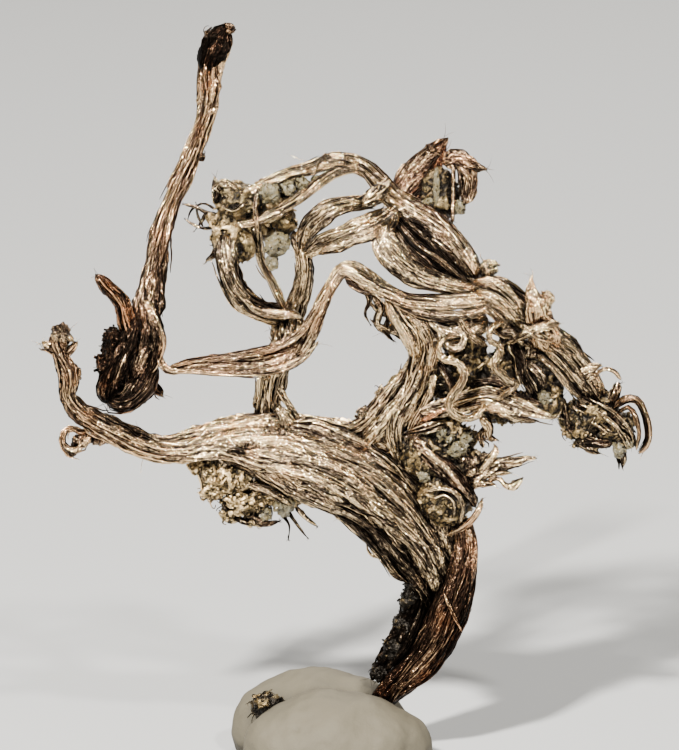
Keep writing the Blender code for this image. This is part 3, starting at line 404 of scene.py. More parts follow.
TRUNK = [
    ("stem", COPPER_BROWN, Look((0.52, 0.3), (0.8, 0.6)), [
        Strand([(37.2, 72.0, 0.6, 1.0), (38.6, 70.0, 0.3, 1.2), (40.5, 68.2, 0.0, 1.5),
                (42.5, 66.2, -0.3, 1.7), (44.2, 63.5, -0.5, 1.8), (45.2, 61.0, -0.5, 1.8),
                (46.0, 58.5, -0.3, 1.6), (46.5, 56.0, 0.0, 1.4), (46.5, 53.5, 0.3, 1.2),
                (46.0, 51.5, 0.6, 1.0)], flat=0.85, rough=0.2, wires=0.6),
        Strand([(38.6, 71.4, -0.6, 0.2), (39.6, 69.4, -1.0, 0.4), (41.2, 67.4, -1.4, 0.45),
                (42.8, 65.6, -1.7, 0.35), (44.0, 63.6, -1.9, 0.15)], flat=0.6, rough=0.4,
               dark=-0.25, copper=-0.3),
    ]),
    # Partly painted shade: the bundle darkens towards its lower right end, and its lowest strand is
    # darker still.
    ("main_bundle", SILVER, Look((-0.22, 0.16), (0.15, 0.1)), [
        Strand([(13.5, 44.5, -2.2, 0.5), (17.5, 45.5, -1.6, 0.7), (22.0, 44.8, -1.3, 1.0),
                (26.0, 45.5, -1.1, 1.5), (30.0, 46.6, -1.0, 1.8), (34.0, 48.2, -0.9, 1.9),
                (38.0, 50.8, -0.6, 1.8), (41.5, 54.0, -0.2, 1.6), (43.6, 57.5, 0.3, 1.3),
                (44.2, 60.0, 0.8, 0.8)],
               rough=0.7),
        Strand([(12.6, 43.2, -2.2, 0.4), (16.2, 44.2, -1.5, 0.7), (20.0, 43.6, -0.6, 0.9),
                (24.0, 42.8, 0.3, 1.3), (28.0, 42.9, 0.8, 1.6), (32.0, 43.5, 1.0, 1.8),
                (36.0, 44.8, 1.0, 1.9), (39.5, 47.4, 1.0, 1.8), (42.5, 50.8, 1.0, 1.6),
                (44.4, 54.5, 1.0, 1.3), (45.0, 57.5, 1.0, 0.8)], rough=0.8),
        Strand([(22.4, 45.4, -0.8, 0.6), (26.0, 46.8, -0.6, 1.1), (30.0, 48.5, -0.4, 1.4),
                (34.0, 50.1, -0.2, 1.5), (37.0, 52.1, 0.0, 1.5), (40.0, 55.3, 0.4, 1.5),
                (42.3, 58.7, 0.8, 1.0), (43.2, 61.4, 1.0, 0.7), (42.8, 64.0, 1.2, 0.4)],
               flat=1.1, dark=0.35),
        Lump((25.0, 44.4, -1.6), (1.3, 0.7, 0.65)),
        Lump((27.4, 43.4, -1.0), (1.4, 0.8, 0.6)),
        Lump((23.2, 44.6, -1.5), (0.9, 0.5, 0.5)),
        Strand([(22.4, 45.2, -2.1, 0.2), (23.4, 45.0, -2.4, 0.35), (24.6, 45.4, -2.4, 0.2)],
               rough=1.0, dark=0.6, wires=0.0, fibres=0),
        Strand([(20.0, 44.4, -1.6, 0.5), (26.0, 44.0, -1.2, 0.9), (31.0, 44.8, -1.0, 1.1),
                (36.0, 46.9, -0.8, 1.2), (40.0, 50.2, -0.6, 1.1), (43.0, 54.2, -0.2, 0.9),
                (44.8, 57.8, 0.4, 0.6)]),
        Strand([(23.5, 44.6, 1.6, 0.7), (30.0, 45.8, 2.8, 1.6), (36.0, 48.2, 3.2, 1.8),
                (41.0, 52.2, 2.8, 1.5), (44.0, 56.5, 1.8, 0.9)]),
        Strand([(36.7, 54.2, -0.2, 0.08), (36.8, 55.1, -0.3, 0.12), (37.3, 55.7, -0.4, 0.14),
                (38.0, 55.8, -0.4, 0.12), (38.4, 55.2, -0.4, 0.06)], flat=0.6, dark=-0.3),
        Strand([(33.4, 51.6, -0.4, 0.15), (35.0, 52.4, -0.6, 0.3), (37.4, 54.6, -0.6, 0.4),
                (39.6, 57.4, -0.2, 0.4), (41.0, 58.6, 0.2, 0.15)], rough=1.0, dark=0.3),
        Strand([(44.4, 59.4, -2.1, 0.06), (45.0, 60.7, -2.3, 0.14), (45.7, 62.2, -2.2, 0.13),
                (46.3, 63.4, -2.0, 0.04)], flat=0.6, fibres=0, copper=0.6, dark=-0.1),
    ]),
    ("column", SILVER, Look((-0.07, -0.07), (0.1, 0.1)), [
        Strand([(34.6, 45.4, 2.0, 0.9), (36.8, 43.9, 1.2, 1.6), (39.2, 41.6, 0.6, 2.1),
                (41.0, 39.2, 0.4, 1.9), (42.0, 37.0, 0.1, 1.6), (42.4, 35.2, -0.3, 1.5),
                (42.5, 33.4, -0.6, 1.8), (42.8, 31.8, -0.8, 1.4)], flat=0.8, rough=0.8),
        Strand([(41.2, 48.0, 1.4, 0.3), (39.8, 45.4, 0.0, 0.6), (39.4, 42.4, -0.8, 0.9),
                (41.2, 39.4, -0.8, 0.8), (42.3, 36.6, -1.0, 0.6)], rough=0.7),
        Strand([(34.0, 46.2, 2.0, 0.3), (35.9, 44.9, 0.7, 0.5), (37.6, 43.2, -0.4, 0.8),
                (39.6, 40.8, -0.8, 0.8), (40.8, 38.4, -0.7, 0.5)], rough=0.8),
        Strand([(32.2, 44.4, 1.8, 0.3), (34.4, 43.3, 0.8, 0.5), (36.6, 42.0, -0.1, 0.6),
                (38.6, 39.6, -0.4, 0.5), (40.4, 37.0, -0.4, 0.3)], rough=1.0),
        Strand([(40.6, 45.4, -0.4, 0.4), (41.4, 42.6, -0.9, 0.5), (42.8, 40.0, -1.1, 0.5),
                (43.4, 37.4, -1.2, 0.4)], rough=0.7),
        Strand([(38.6, 32.8, -0.6, 0.6), (42.0, 33.2, -0.8, 1.2), (45.5, 32.8, -0.9, 1.5),
                (48.8, 32.0, -0.8, 1.3)], flat=1.1, rough=0.7, dark=0.15),
        Lump((36.6, 41.4, 0.5), (1.0, 0.8, 1.0)),
        Lump((38.4, 39.6, 0.2), (0.8, 0.8, 0.8)),
    ]),
    ("post", SILVER, Look((-0.05, 0.0), (0.1, 0.1)), [
        Strand([(26.4, 44.0, 2.6, 1.2), (26.7, 42.2, 1.9, 1.4), (26.8, 40.0, 0.9, 1.25),
                (27.0, 38.4, 0.6, 1.3), (27.5, 36.4, 0.8, 1.4), (28.4, 34.4, 1.1, 1.4),
                (28.6, 32.4, 1.4, 1.7), (28.5, 30.8, 1.6, 1.5)], flat=0.85, rough=0.9),
        Strand([(27.4, 38.2, 0.4, 0.4), (28.7, 40.2, 0.3, 0.3), (30.0, 42.3, 0.4, 0.3)],
               rough=0.5),
        Strand([(24.0, 29.4, -1.8, 0.25), (25.6, 31.0, -1.6, 0.4), (27.6, 31.5, -1.0, 0.45),
                (29.2, 31.4, -0.5, 0.35), (30.2, 31.8, 0.5, 0.1)], rough=0.6, dark=-0.1),
        Strand([(27.6, 40.6, 0.2, 0.4), (28.3, 41.6, 0.0, 0.7), (28.8, 42.6, 0.4, 0.7),
                (29.6, 43.6, 1.0, 0.4)], rough=1.0),
    ]),
]

LEFT_SIDE = [
    # Painted shade: much of this crust's darkness stands in for shade on the stem's inner side.
    ("stem_crust", CRUST, Look((0.85, 0.75), (0.1, 0.1)), [
        Strand([(37.2, 68.4, 1.3, 0.5), (38.8, 66.4, 1.5, 0.9), (40.2, 64.2, 1.6, 1.2),
                (41.2, 61.8, 1.7, 1.3), (41.8, 59.4, 1.8, 1.3), (42.2, 57.8, 1.8, 1.0)],
               flat=1.1, rough=1.0, wires=0.4),
        Strand([(38.6, 67.4, 0.2, 0.3), (40.6, 65.0, 0.0, 0.4), (42.0, 62.0, 0.2, 0.4),
                (42.6, 59.0, 0.6, 0.3)], rough=1.0),
        Lump((38.2, 67.6, 1.2), (0.9, 0.9, 0.9)),
        Lump((39.6, 65.4, 0.9), (1.2, 1.3, 1.2)),
        Lump((40.6, 62.8, 1.2), (1.0, 1.4, 1.1)),
        Lump((41.0, 60.2, 1.4), (0.9, 1.3, 1.1)),
        Lump((41.6, 58.2, 1.4), (0.9, 0.9, 1.0)),
    ]),
    ("tall_wire", SILVER, Look((-0.2, 0.42), (0.5, 0.6)), [
        Strand([(22.2, 2.9, 6.0, 0.8), (22.0, 4.2, 5.9, 1.3), (20.9, 7.0, 5.6, 1.2),
                (20.9, 10.0, 5.2, 1.0), (20.4, 12.4, 4.8, 0.85), (19.6, 14.6, 4.4, 0.8),
                (18.6, 17.0, 4.0, 0.95), (17.2, 20.0, 3.4, 0.8), (16.3, 22.5, 2.8, 0.95),
                (15.7, 26.0, 2.1, 1.1), (15.2, 28.6, 1.5, 1.35), (14.8, 31.2, 0.9, 1.5),
                (14.8, 33.6, 0.4, 1.4), (14.4, 35.8, 0.0, 1.2), (13.6, 37.8, -0.4, 0.9),
                (12.8, 39.2, -0.6, 0.6)], flat=0.75, rough=0.7),
        Strand([(14.6, 30.0, -0.2, 0.25), (15.6, 32.2, -0.8, 0.5), (16.0, 34.4, -1.0, 0.6),
                (15.6, 36.4, -0.9, 0.4), (14.6, 38.0, -0.8, 0.3)], rough=0.8),
        Strand([(22.6, 2.4, 5.8, 0.4), (22.0, 3.4, 5.4, 0.5), (21.3, 4.0, 5.2, 0.4),
                (21.0, 5.4, 5.0, 0.25)], rough=1.0, dark=0.8, fibres=0),
        Strand([(22.3, 2.6, 6.0, 0.7), (22.1, 3.6, 5.95, 1.4), (21.6, 4.9, 5.85, 1.42),
                (21.2, 6.0, 5.7, 1.36), (20.95, 6.9, 5.6, 1.32), (20.9, 7.5, 5.55, 0.9)],
               flat=0.85, rough=1.0, dark=0.75, wires=0.0, fibres=0),
        Lump((22.8, 3.0, 6.0), (0.7, 0.5, 0.7)),
        Lump((21.0, 3.6, 5.8), (0.5, 0.5, 0.6)),
        Lump((20.1, 15.7, 4.0), (0.5, 0.5, 0.5)),
    ]),
    ("wire_knot", SILVER, Look((0.58, 0.64), (0.5, 0.5)), [
        Strand([(13.8, 31.6, -0.4, 0.5), (12.8, 34.4, -1.3, 0.85), (11.4, 37.2, -1.6, 0.95),
                (10.6, 39.2, -1.4, 0.8), (10.7, 40.4, -1.2, 0.4)], rough=1.0),
        Strand([(15.4, 35.8, 0.2, 0.5), (14.8, 38.0, -0.4, 0.9), (13.4, 39.7, -0.9, 1.1),
                (12.0, 40.3, -1.1, 0.95), (10.8, 39.8, -1.2, 0.6)], rough=0.9),
        Strand([(14.0, 38.0, 0.4, 0.5), (15.3, 38.8, 0.3, 0.5), (16.3, 39.7, 0.4, 0.2)],
               rough=1.0),
        Strand([(13.4, 33.4, -1.2, 0.2), (12.4, 36.0, -2.0, 0.25), (11.4, 38.8, -2.2, 0.2)],
               rough=0.8, dark=-0.25),
        Lump((11.3, 34.6, -0.6), (1.3, 1.5, 1.2)),
        Lump((10.9, 36.4, -0.6), (1.1, 1.2, 1.1)),
        Lump((12.6, 38.4, 0.9), (1.6, 1.6, 1.0)),
    ]),
    ("thorn", COPPER_BROWN, Look((0.35, -0.1), (0.9, 1.0)), [
        Strand([(9.7, 27.5, -2.0, 0.3), (10.7, 28.6, -1.7, 0.7), (11.7, 29.6, -1.3, 0.8),
                (12.3, 30.6, -0.9, 0.85), (12.6, 32.0, -0.6, 0.9), (13.0, 33.6, -0.2, 0.8)],
               flat=0.8),
    ]),
    ("tail", SILVER, Look((0.2, -0.12), (0.75, 0.1)), [
        Strand([(6.6, 32.2, -5.0, 0.3), (6.3, 33.4, -4.9, 0.8), (5.9, 34.4, -4.7, 1.0),
                (6.3, 35.8, -4.5, 0.8), (6.9, 37.0, -4.3, 1.05), (7.1, 38.2, -4.1, 0.95),
                (7.0, 39.4, -3.8, 0.8), (7.5, 40.6, -3.5, 0.9), (9.0, 41.9, -3.1, 1.1),
                (12.0, 43.4, -2.5, 1.25), (15.0, 44.9, -1.8, 1.2), (17.6, 45.3, -1.5, 1.0),
                (20.8, 45.0, -1.2, 0.6)], flat=0.85, rough=0.7),
        Strand([(6.4, 35.0, -4.7, 0.7), (5.2, 34.6, -4.9, 0.5), (4.4, 34.2, -5.0, 0.2)],
               rough=1.0),
        Strand([(6.6, 35.6, -4.6, 0.6), (7.4, 34.9, -4.9, 0.45), (8.0, 34.2, -5.1, 0.18)],
               rough=1.0),
        Strand([(5.6, 33.9, -5.3, 0.3), (6.8, 33.6, -5.6, 0.4), (7.6, 34.2, -5.4, 0.3)],
               rough=1.0),
        Strand([(9.6, 42.2, -3.0, 0.4), (8.4, 43.2, -3.5, 0.25), (7.4, 42.8, -3.8, 0.2),
                (6.6, 43.2, -4.0, 0.22), (6.4, 44.2, -4.0, 0.25), (7.0, 44.9, -3.9, 0.3),
                (7.9, 44.9, -3.7, 0.35), (8.4, 44.1, -3.6, 0.3)], flat=1.4, rough=0.6,
               copper=0.2),
        Lump((6.3, 33.4, -4.9), (0.9, 0.9, 0.8)),
        Lump((7.1, 37.6, -4.0), (0.9, 1.3, 0.8)),
        Lump((8.2, 44.0, -3.3), (1.0, 0.7, 0.7)),
        Lump((10.2, 43.8, -2.6), (1.3, 0.7, 0.8)),
        Lump((7.2, 45.2, -3.6), (0.6, 0.5, 0.5)),
    ]),
    ("under_crust", TAN_CRUST, Look((-0.02, -0.02), (0.1, 0.1), 1.0, 0.6), [
        Lump((20.6, 46.6, 0.2), (1.6, 1.0, 1.2)),
        Lump((22.8, 47.8, 0.2), (2.4, 1.5, 1.6)),
        Lump((21.2, 49.0, 0.4), (1.2, 1.0, 1.0)),
        Lump((24.4, 50.0, 0.8), (2.0, 1.5, 1.6)),
        Lump((26.8, 49.2, 1.0), (1.9, 1.5, 1.5)),
        Lump((23.0, 51.4, 1.2), (1.0, 0.9, 1.0)),
        Lump((25.6, 52.0, 1.4), (1.0, 0.7, 1.0)),
        Lump((28.8, 49.6, 1.0), (1.2, 1.1, 1.2)),
        Crystal((28.3, 50.6, 0.4), (1.1, 1.0, 0.9), facing=1),
        Crystal((26.6, 51.4, 0.6), (0.7, 0.6, 0.7), facing=3),
        Strand([(19.4, 46.0, 0.2, 0.2), (20.2, 48.0, 0.2, 0.3), (20.6, 50.0, 0.4, 0.12)],
               rough=1.0),
        Strand([(24.6, 48.4, -0.9, 0.2), (26.8, 49.2, -0.9, 0.3), (29.2, 50.6, -0.4, 0.2)],
               rough=0.8),
        Strand([(22.0, 50.2, 0.8, 0.25), (23.4, 51.8, 0.8, 0.3), (25.2, 52.6, 0.9, 0.15)],
               rough=1.0, dark=0.6, fibres=12),
        Strand([(25.0, 51.6, 0.4, 0.2), (26.4, 52.4, 0.4, 0.3), (28.0, 52.2, 0.6, 0.15)],
               rough=1.0, dark=0.6, fibres=12),
        Strand([(28.6, 51.0, 0.8, 0.25), (29.6, 52.4, 0.8, 0.15), (30.8, 54.0, 0.9, 0.05)],
               rough=0.9, dark=0.4, fibres=8),
        Strand([(28.0, 51.4, 0.8, 0.25), (28.9, 52.6, 0.8, 0.12), (28.8, 54.2, 0.9, 0.05)],
               rough=0.9, dark=0.4, fibres=8),
        Strand([(29.6, 50.6, 0.6, 0.25), (30.4, 51.8, 0.6, 0.14), (31.8, 52.8, 0.7, 0.05)],
               rough=0.9, dark=0.4, fibres=8),
    ]),
    ("ribbon", SILVER, Look((0.08, 0.04), (0.5, 0.3)), [
        Strand([(15.2, 34.0, -0.6, 0.3), (15.9, 35.8, -1.2, 0.35), (16.9, 37.0, -1.9, 0.4),
                (19.0, 36.6, -2.8, 0.55), (21.5, 36.4, -3.4, 0.85), (24.5, 36.4, -3.6, 1.05),
                (27.5, 36.1, -3.4, 1.25), (29.8, 35.2, -3.0, 1.1), (31.4, 33.6, -2.9, 0.5)],
               flat=0.4, turn=(10.0, -10.0),
               rough=0.25),
        Strand([(16.0, 36.0, -1.6, 0.2), (17.2, 37.0, -2.4, 0.25), (20.5, 37.1, -3.4, 0.3),
                (24.0, 37.2, -4.0, 0.4), (27.6, 37.0, -4.0, 0.45), (30.2, 35.9, -3.6, 0.4),
                (31.9, 34.1, -3.2, 0.12)],
               rough=0.3),
        Strand([(17.0, 36.7, -2.2, 0.2), (19.0, 36.2, -3.0, 0.25), (23.0, 35.7, -3.8, 0.35),
                (27.0, 34.9, -4.0, 0.4), (29.8, 33.4, -3.9, 0.4), (31.4, 31.2, -3.8, 0.35),
                (33.0, 28.6, -3.6, 0.3)],
               rough=0.3),
        Strand([(29.6, 35.8, -3.0, 0.8), (31.0, 33.6, -3.3, 0.8), (31.8, 31.6, -3.5, 0.65),
                (32.6, 29.8, -3.5, 0.55), (33.4, 28.3, -3.4, 0.55), (34.2, 27.2, -3.2, 0.65),
                (35.4, 27.0, -3.2, 0.7), (36.6, 27.6, -3.3, 0.6)],
               flat=0.6, rough=0.5),
        Strand([(22.6, 36.8, -3.2, 0.2), (22.5, 37.6, -3.4, 0.06)], fibres=0),
    ]),
]

MIDDLE = [
    ("lower_band", SILVER, Look((-0.02, -0.05), (0.3, 0.1)), [
        Strand([(33.4, 27.7, -3.1, 0.4), (34.6, 27.0, -3.3, 0.7), (36.2, 27.7, -3.5, 0.95),
                (38.6, 29.2, -3.3, 0.75), (41.0, 30.1, -3.0, 0.7), (44.0, 30.3, -2.6, 0.75),
                (47.0, 30.1, -2.0, 0.8), (49.6, 29.8, -1.2, 0.7)], flat=0.7, rough=0.2),
        Strand([(34.4, 27.6, -2.9, 0.5), (36.0, 28.6, -3.1, 0.7), (37.6, 29.2, -3.1, 0.5),
                (39.4, 29.8, -2.9, 0.3)], rough=1.0, dark=0.2, copper=0.3),
        Strand([(39.2, 30.2, -2.9, 0.35), (42.4, 31.3, -2.9, 0.5), (45.6, 31.6, -2.5, 0.5),
                (48.8, 30.9, -1.6, 0.45)], rough=0.3),
        Strand([(38.6, 29.6, -2.6, 0.4), (39.8, 31.6, -2.3, 0.75), (41.0, 33.6, -1.7, 0.9),
                (41.8, 35.8, -1.1, 0.8)], rough=0.6),
        Strand([(40.6, 31.2, -2.5, 0.35), (42.2, 32.8, -2.3, 0.55), (43.0, 34.8, -1.9, 0.55),
                (42.8, 37.0, -1.4, 0.45)], rough=0.5),
        Strand([(42.6, 32.0, -2.4, 0.3), (44.4, 33.2, -2.6, 0.4), (46.4, 33.4, -2.5, 0.4),
                (48.2, 32.4, -2.0, 0.35)], rough=0.4),
        Strand([(45.6, 31.4, -2.6, 0.25), (47.0, 33.4, -2.5, 0.4), (48.6, 34.6, -2.0, 0.3)],
               rough=0.4),
        Strand([(43.6, 32.6, -2.4, 0.2), (44.6, 34.6, -3.0, 0.28), (46.0, 34.8, -3.0, 0.28),
                (46.4, 33.6, -2.8, 0.22), (45.6, 32.9, -2.6, 0.18)], flat=1.4, rough=0.2),
        Strand([(36.4, 28.9, -2.6, 0.25), (36.9, 30.2, -2.3, 0.2), (36.5, 31.4, -2.0, 0.15),
                (37.1, 32.6, -1.7, 0.06)], rough=1.0, dark=0.4, fibres=8),
        Strand([(37.2, 29.4, -2.4, 0.35), (38.0, 30.8, -2.0, 0.3), (37.7, 32.2, -1.6, 0.25),
                (38.4, 33.4, -1.2, 0.1)], rough=1.0, dark=0.4, fibres=8),
        Strand([(38.2, 30.2, -2.2, 0.35), (38.9, 31.6, -1.7, 0.3), (38.6, 33.0, -1.3, 0.2),
                (39.4, 34.2, -1.0, 0.08)], rough=1.0, dark=0.4, fibres=8),
        Strand([(36.8, 30.0, -2.2, 0.15), (37.8, 31.2, -1.9, 0.15), (38.9, 31.8, -1.7, 0.1)],
               rough=1.0, dark=0.4),
        Strand([(37.0, 32.0, -1.8, 0.12), (38.2, 32.6, -1.5, 0.15), (39.2, 33.2, -1.2, 0.1)],
               rough=1.0, dark=0.4),
    ]),
    ("loop_left", SILVER, Look((0.05, 0.0), (0.0, 0.1)), [
        Strand([(29.8, 32.2, 2.4, 0.5), (28.2, 31.6, 1.3, 0.9), (26.4, 31.1, 0.1, 1.0),
                (24.8, 30.2, -0.8, 1.05),
                (23.6, 28.8, -1.3, 1.1), (23.0, 27.2, -1.4, 1.1), (22.7, 25.2, -1.0, 1.1),
                (22.8, 23.4, -0.2, 0.9)], flat=0.8),
    ]),
    ("loop_middle", SILVER, Look((0.1, 0.0), (0.1, 0.1)), [
        Strand([(29.0, 31.8, 1.2, 0.5), (28.2, 30.4, 1.4, 0.45), (27.2, 28.2, 2.0, 0.45),
                (26.2, 26.4, 2.3, 0.45), (25.8, 24.2, 2.2, 0.5), (25.6, 22.4, 2.0, 0.5)], flat=1.2),
    ]),
    ("loop_right", SILVER, Look((0.1, 0.0), (0.1, 0.1)), [
        Strand([(28.6, 33.0, 1.4, 0.8), (29.4, 31.0, 1.3, 1.0), (30.1, 29.0, 0.8, 0.85),
                (30.4, 27.2, 0.4, 0.8), (30.2, 25.2, 0.4, 0.8), (29.4, 23.2, 1.0, 0.8)], flat=0.9),
    ]),
    ("head_crust", CRUST, Look((0.14, 0.14), (0.1, 0.1), 0.4, 1.5), [
        Lump((23.9, 20.2, 1.4), (2.4, 2.1, 2.2)),
        Lump((26.6, 20.2, 1.6), (2.2, 1.9, 2.0)),
        Lump((22.6, 23.4, 0.8), (1.3, 2.2, 1.3)),
        Lump((24.2, 24.8, 1.0), (1.2, 1.6, 1.2)),
        Lump((28.6, 22.2, 1.8), (1.2, 1.5, 1.4)),
        Lump((28.4, 18.9, 2.2), (2.2, 1.2, 1.5)),
        Lump((25.6, 22.0, 3.8), (2.2, 2.2, 1.8)),
        Lump((21.4, 21.8, 2.2), (0.9, 0.8, 0.8)),
        Strand([(21.8, 21.6, 2.0, 0.3), (20.6, 21.2, 2.5, 0.14), (19.4, 20.6, 2.9, 0.12),
                (18.2, 20.4, 3.2, 0.05)], rough=1.0, dark=0.35),
        Strand([(21.8, 22.4, 2.0, 0.3), (20.6, 22.9, 2.6, 0.14), (19.2, 22.4, 3.0, 0.1),
                (18.4, 21.8, 3.1, 0.05)], rough=1.0, dark=0.35),
        Strand([(21.6, 21.0, 2.2, 0.25), (20.4, 20.4, 2.8, 0.12), (19.2, 21.0, 3.2, 0.12),
                (18.8, 22.0, 3.2, 0.05)], rough=1.0, dark=0.35),
        Strand([(20.8, 21.2, 2.4, 0.12), (20.2, 22.2, 2.7, 0.12), (19.4, 23.2, 2.8, 0.05)],
               rough=1.0, dark=0.35),
        Strand([(20.4, 22.8, 2.6, 0.1), (19.8, 21.6, 2.9, 0.1), (19.6, 20.2, 3.0, 0.05)],
               rough=1.0, dark=0.35),
        Crystal((27.7, 24.5, 0.0), (1.0, 1.3, 0.9), facing=1),
        Crystal((27.3, 26.2, 0.6), (0.8, 0.6, 0.7), facing=3),
        Crystal((27.0, 19.5, -0.4), (1.1, 1.0, 0.8), facing=2),
        Crystal((28.9, 18.9, 0.2), (0.7, 0.7, 0.8), facing=4),
        Crystal((30.3, 18.5, 1.0), (0.8, 0.6, 0.8), facing=5),
        Crystal((31.7, 18.2, 1.8), (0.7, 0.5, 0.6), facing=6),
        Strand([(21.6, 20.4, 0.8, 0.5), (21.6, 19.0, 1.0, 0.4), (21.5, 17.8, 1.3, 0.15)]),
        Strand([(22.4, 19.4, 0.8, 0.3), (21.9, 18.6, 0.6, 0.4), (22.9, 18.6, 0.5, 0.3),
                (24.0, 19.2, 0.4, 0.2)], flat=0.5),
        Strand([(22.2, 24.8, 0.2, 0.6), (21.4, 25.6, 0.0, 0.4), (20.6, 26.2, 0.2, 0.1)]),
        Strand([(25.9, 18.9, -0.6, 0.15), (25.6, 20.6, -1.1, 0.22), (25.7, 22.0, -1.3, 0.3),
                (26.0, 23.4, -0.9, 0.3)]),
        Strand([(23.6, 22.6, -0.8, 0.2), (25.2, 22.4, -1.1, 0.3), (27.0, 21.6, -1.1, 0.3),
                (28.8, 20.9, -0.5, 0.3)]),
        Strand([(22.2, 20.6, -0.6, 0.12), (23.4, 21.2, -0.9, 0.16), (24.6, 20.4, -0.9, 0.12)]),
    ]),
    ("arch_rise", SILVER, Look((-0.12, -0.12), (0.15, 0.15)), [
        Strand([(24.2, 19.6, 0.6, 0.3), (26.4, 18.6, 0.6, 0.5), (28.5, 17.6, 1.0, 0.6),
                (30.5, 17.0, 1.8, 0.65), (32.5, 16.4, 2.6, 0.75), (34.0, 16.3, 3.1, 0.8),
                (36.0, 16.7, 3.5, 0.5)], flat=0.9, rough=0.6),
        Strand([(25.4, 22.2, -0.3, 0.25), (27.2, 21.4, -0.7, 0.4), (29.0, 20.6, -0.4, 0.5),
                (30.8, 19.4, 0.3, 0.5), (32.4, 18.1, 1.3, 0.5), (34.2, 17.1, 2.5, 0.5),
                (36.2, 16.9, 3.3, 0.4)], flat=0.9, rough=0.4),
        Strand([(31.6, 17.2, 1.2, 0.3), (32.2, 16.1, 1.8, 0.4), (32.7, 15.6, 2.4, 0.3),
                (33.0, 16.2, 3.2, 0.3)], rough=1.0),
    ]),
    ("arch_fall", SILVER, Look((-0.06, 0.02), (0.2, 0.2)), [
        Strand([(30.6, 17.0, 1.8, 0.5), (33.0, 16.4, 2.8, 0.8), (34.8, 16.3, 3.4, 0.9),
                (36.5, 16.8, 3.7, 0.9), (38.0, 18.2, 3.6, 0.95), (39.2, 19.8, 3.2, 1.05),
                (41.2, 21.3, 2.5, 1.25), (43.5, 22.7, 1.7, 1.4), (45.5, 24.4, 0.9, 1.3),
                (47.0, 26.3, 0.3, 1.1), (47.7, 27.9, 0.1, 0.9)], flat=0.8),
    ]),
    ("leaf_upper", SILVER, Look((0.0, 0.0), (0.1, 0.0)), [
        Strand([(30.0, 25.6, 0.0, 0.4), (30.6, 23.3, -1.0, 0.85), (32.2, 21.6, -1.8, 1.05),
                (34.3, 20.7, -1.4, 0.9), (36.2, 20.4, -0.2, 0.7), (37.6, 19.8, 1.4, 0.9),
                (38.4, 19.6, 2.4, 0.6)], flat=0.5, dark=-0.1),
        Strand([(36.2, 20.6, -0.8, 0.3), (37.2, 19.8, -0.6, 0.75), (38.2, 18.9, 0.4, 0.7),
                (39.0, 18.2, 1.6, 0.3)], flat=0.7, rough=1.0, dark=-0.1),
    ]),
    ("leaf_lower", SILVER, Look((0.0, 0.0), (0.05, 0.0)), [
        Strand([(30.4, 25.5, -0.6, 0.45), (32.5, 24.5, -1.8, 0.9), (35.0, 23.5, -2.6, 1.15),
                (37.0, 22.8, -2.4, 1.25), (38.6, 22.0, -1.0, 1.1), (39.6, 21.0, 1.2, 0.6)],
               flat=0.45),
    ]),
    ("pod_outer", SILVER, Look((0.0, 0.0), (0.0, 0.0)), [
        Strand([(38.0, 22.2, -1.6, 0.9), (38.3, 24.0, -2.8, 1.25), (39.3, 25.7, -3.3, 1.3),
                (41.2, 27.3, -3.2, 1.2), (43.5, 28.3, -2.6, 1.0), (46.0, 28.9, -1.7, 0.7),
                (47.8, 29.0, -1.0, 0.5)], flat=0.5),
    ]),
    ("pod_inner", SILVER, Look((0.42, 0.32), (0.2, 0.1)), [
        Strand([(39.2, 21.8, 0.9, 0.7), (41.2, 23.9, 1.0, 1.6), (43.5, 25.7, 0.9, 1.8),
                (45.8, 27.5, 0.4, 1.2), (47.4, 28.7, 0.0, 0.5)], flat=0.3, rough=0.6,
               dark=0.35, copper=0.2),
        Strand([(39.2, 21.4, 1.4, 0.5), (41.0, 24.2, 0.6, 0.6), (43.2, 26.2, 0.2, 0.6),
                (45.4, 27.6, -0.2, 0.55), (47.2, 28.6, -0.4, 0.5)], rough=0.4, dark=0.25),
        Strand([(39.4, 22.0, 0.4, 0.25), (41.6, 24.4, -0.8, 0.28), (43.9, 25.9, -0.9, 0.28),
                (46.6, 28.2, -0.7, 0.25)], rough=0.2),
        Strand([(39.0, 22.6, 0.0, 0.22), (40.8, 25.2, -1.4, 0.3), (43.2, 27.2, -1.7, 0.3),
                (46.4, 28.6, -1.2, 0.25)], rough=0.2),
        Strand([(40.2, 21.8, 0.8, 0.2), (42.6, 24.0, -0.2, 0.22), (45.0, 26.6, -0.4, 0.22),
                (46.9, 28.4, -0.4, 0.2)], rough=0.2),
    ]),
    ("wing_plate", SILVER, Look((0.02, 0.3), (0.45, 0.6)), [
        Strand([(39.3, 20.0, 3.6, 1.2), (40.9, 18.2, 4.2, 1.5), (42.5, 16.5, 4.6, 1.35),
                (43.7, 15.0, 4.8, 0.95), (44.8, 13.8, 4.8, 0.3)], flat=0.3, rough=0.4,
               wires=0.3),
        Strand([(40.0, 21.2, 3.4, 0.5), (42.2, 19.0, 3.8, 0.6), (43.6, 16.8, 4.2, 0.45),
                (44.6, 14.6, 4.6, 0.2)], rough=0.5, dark=0.2, copper=0.3),
        Lump((43.2, 14.8, 4.8), (0.7, 0.6, 0.6)),
    ]),
    ("wing_crust", CRUST, Look((0.42, 0.42), (0.0, 0.0), 0.4, 1.5), [
        Lump((43.8, 19.6, 3.4), (1.9, 2.8, 1.3)),
        Crystal((43.6, 18.8, 2.2), (0.32, 2.0, 0.5)),
        Crystal((42.6, 20.4, 2.4), (0.35, 0.9, 0.5), facing=1),
        Crystal((45.8, 20.8, 2.4), (0.8, 0.7, 0.6), facing=2),
    ]),
    ("wing_flake", SILVER, Look((0.15, 0.2), (0.4, 0.5)), [
        Strand([(44.2, 16.4, 3.4, 0.5), (45.6, 16.1, 3.0, 0.9), (47.0, 16.6, 2.6, 0.75),
                (48.7, 17.1, 2.2, 0.15)], flat=0.3, turn=(0.0, 30.0), rough=1.0,
               wires=0.4),
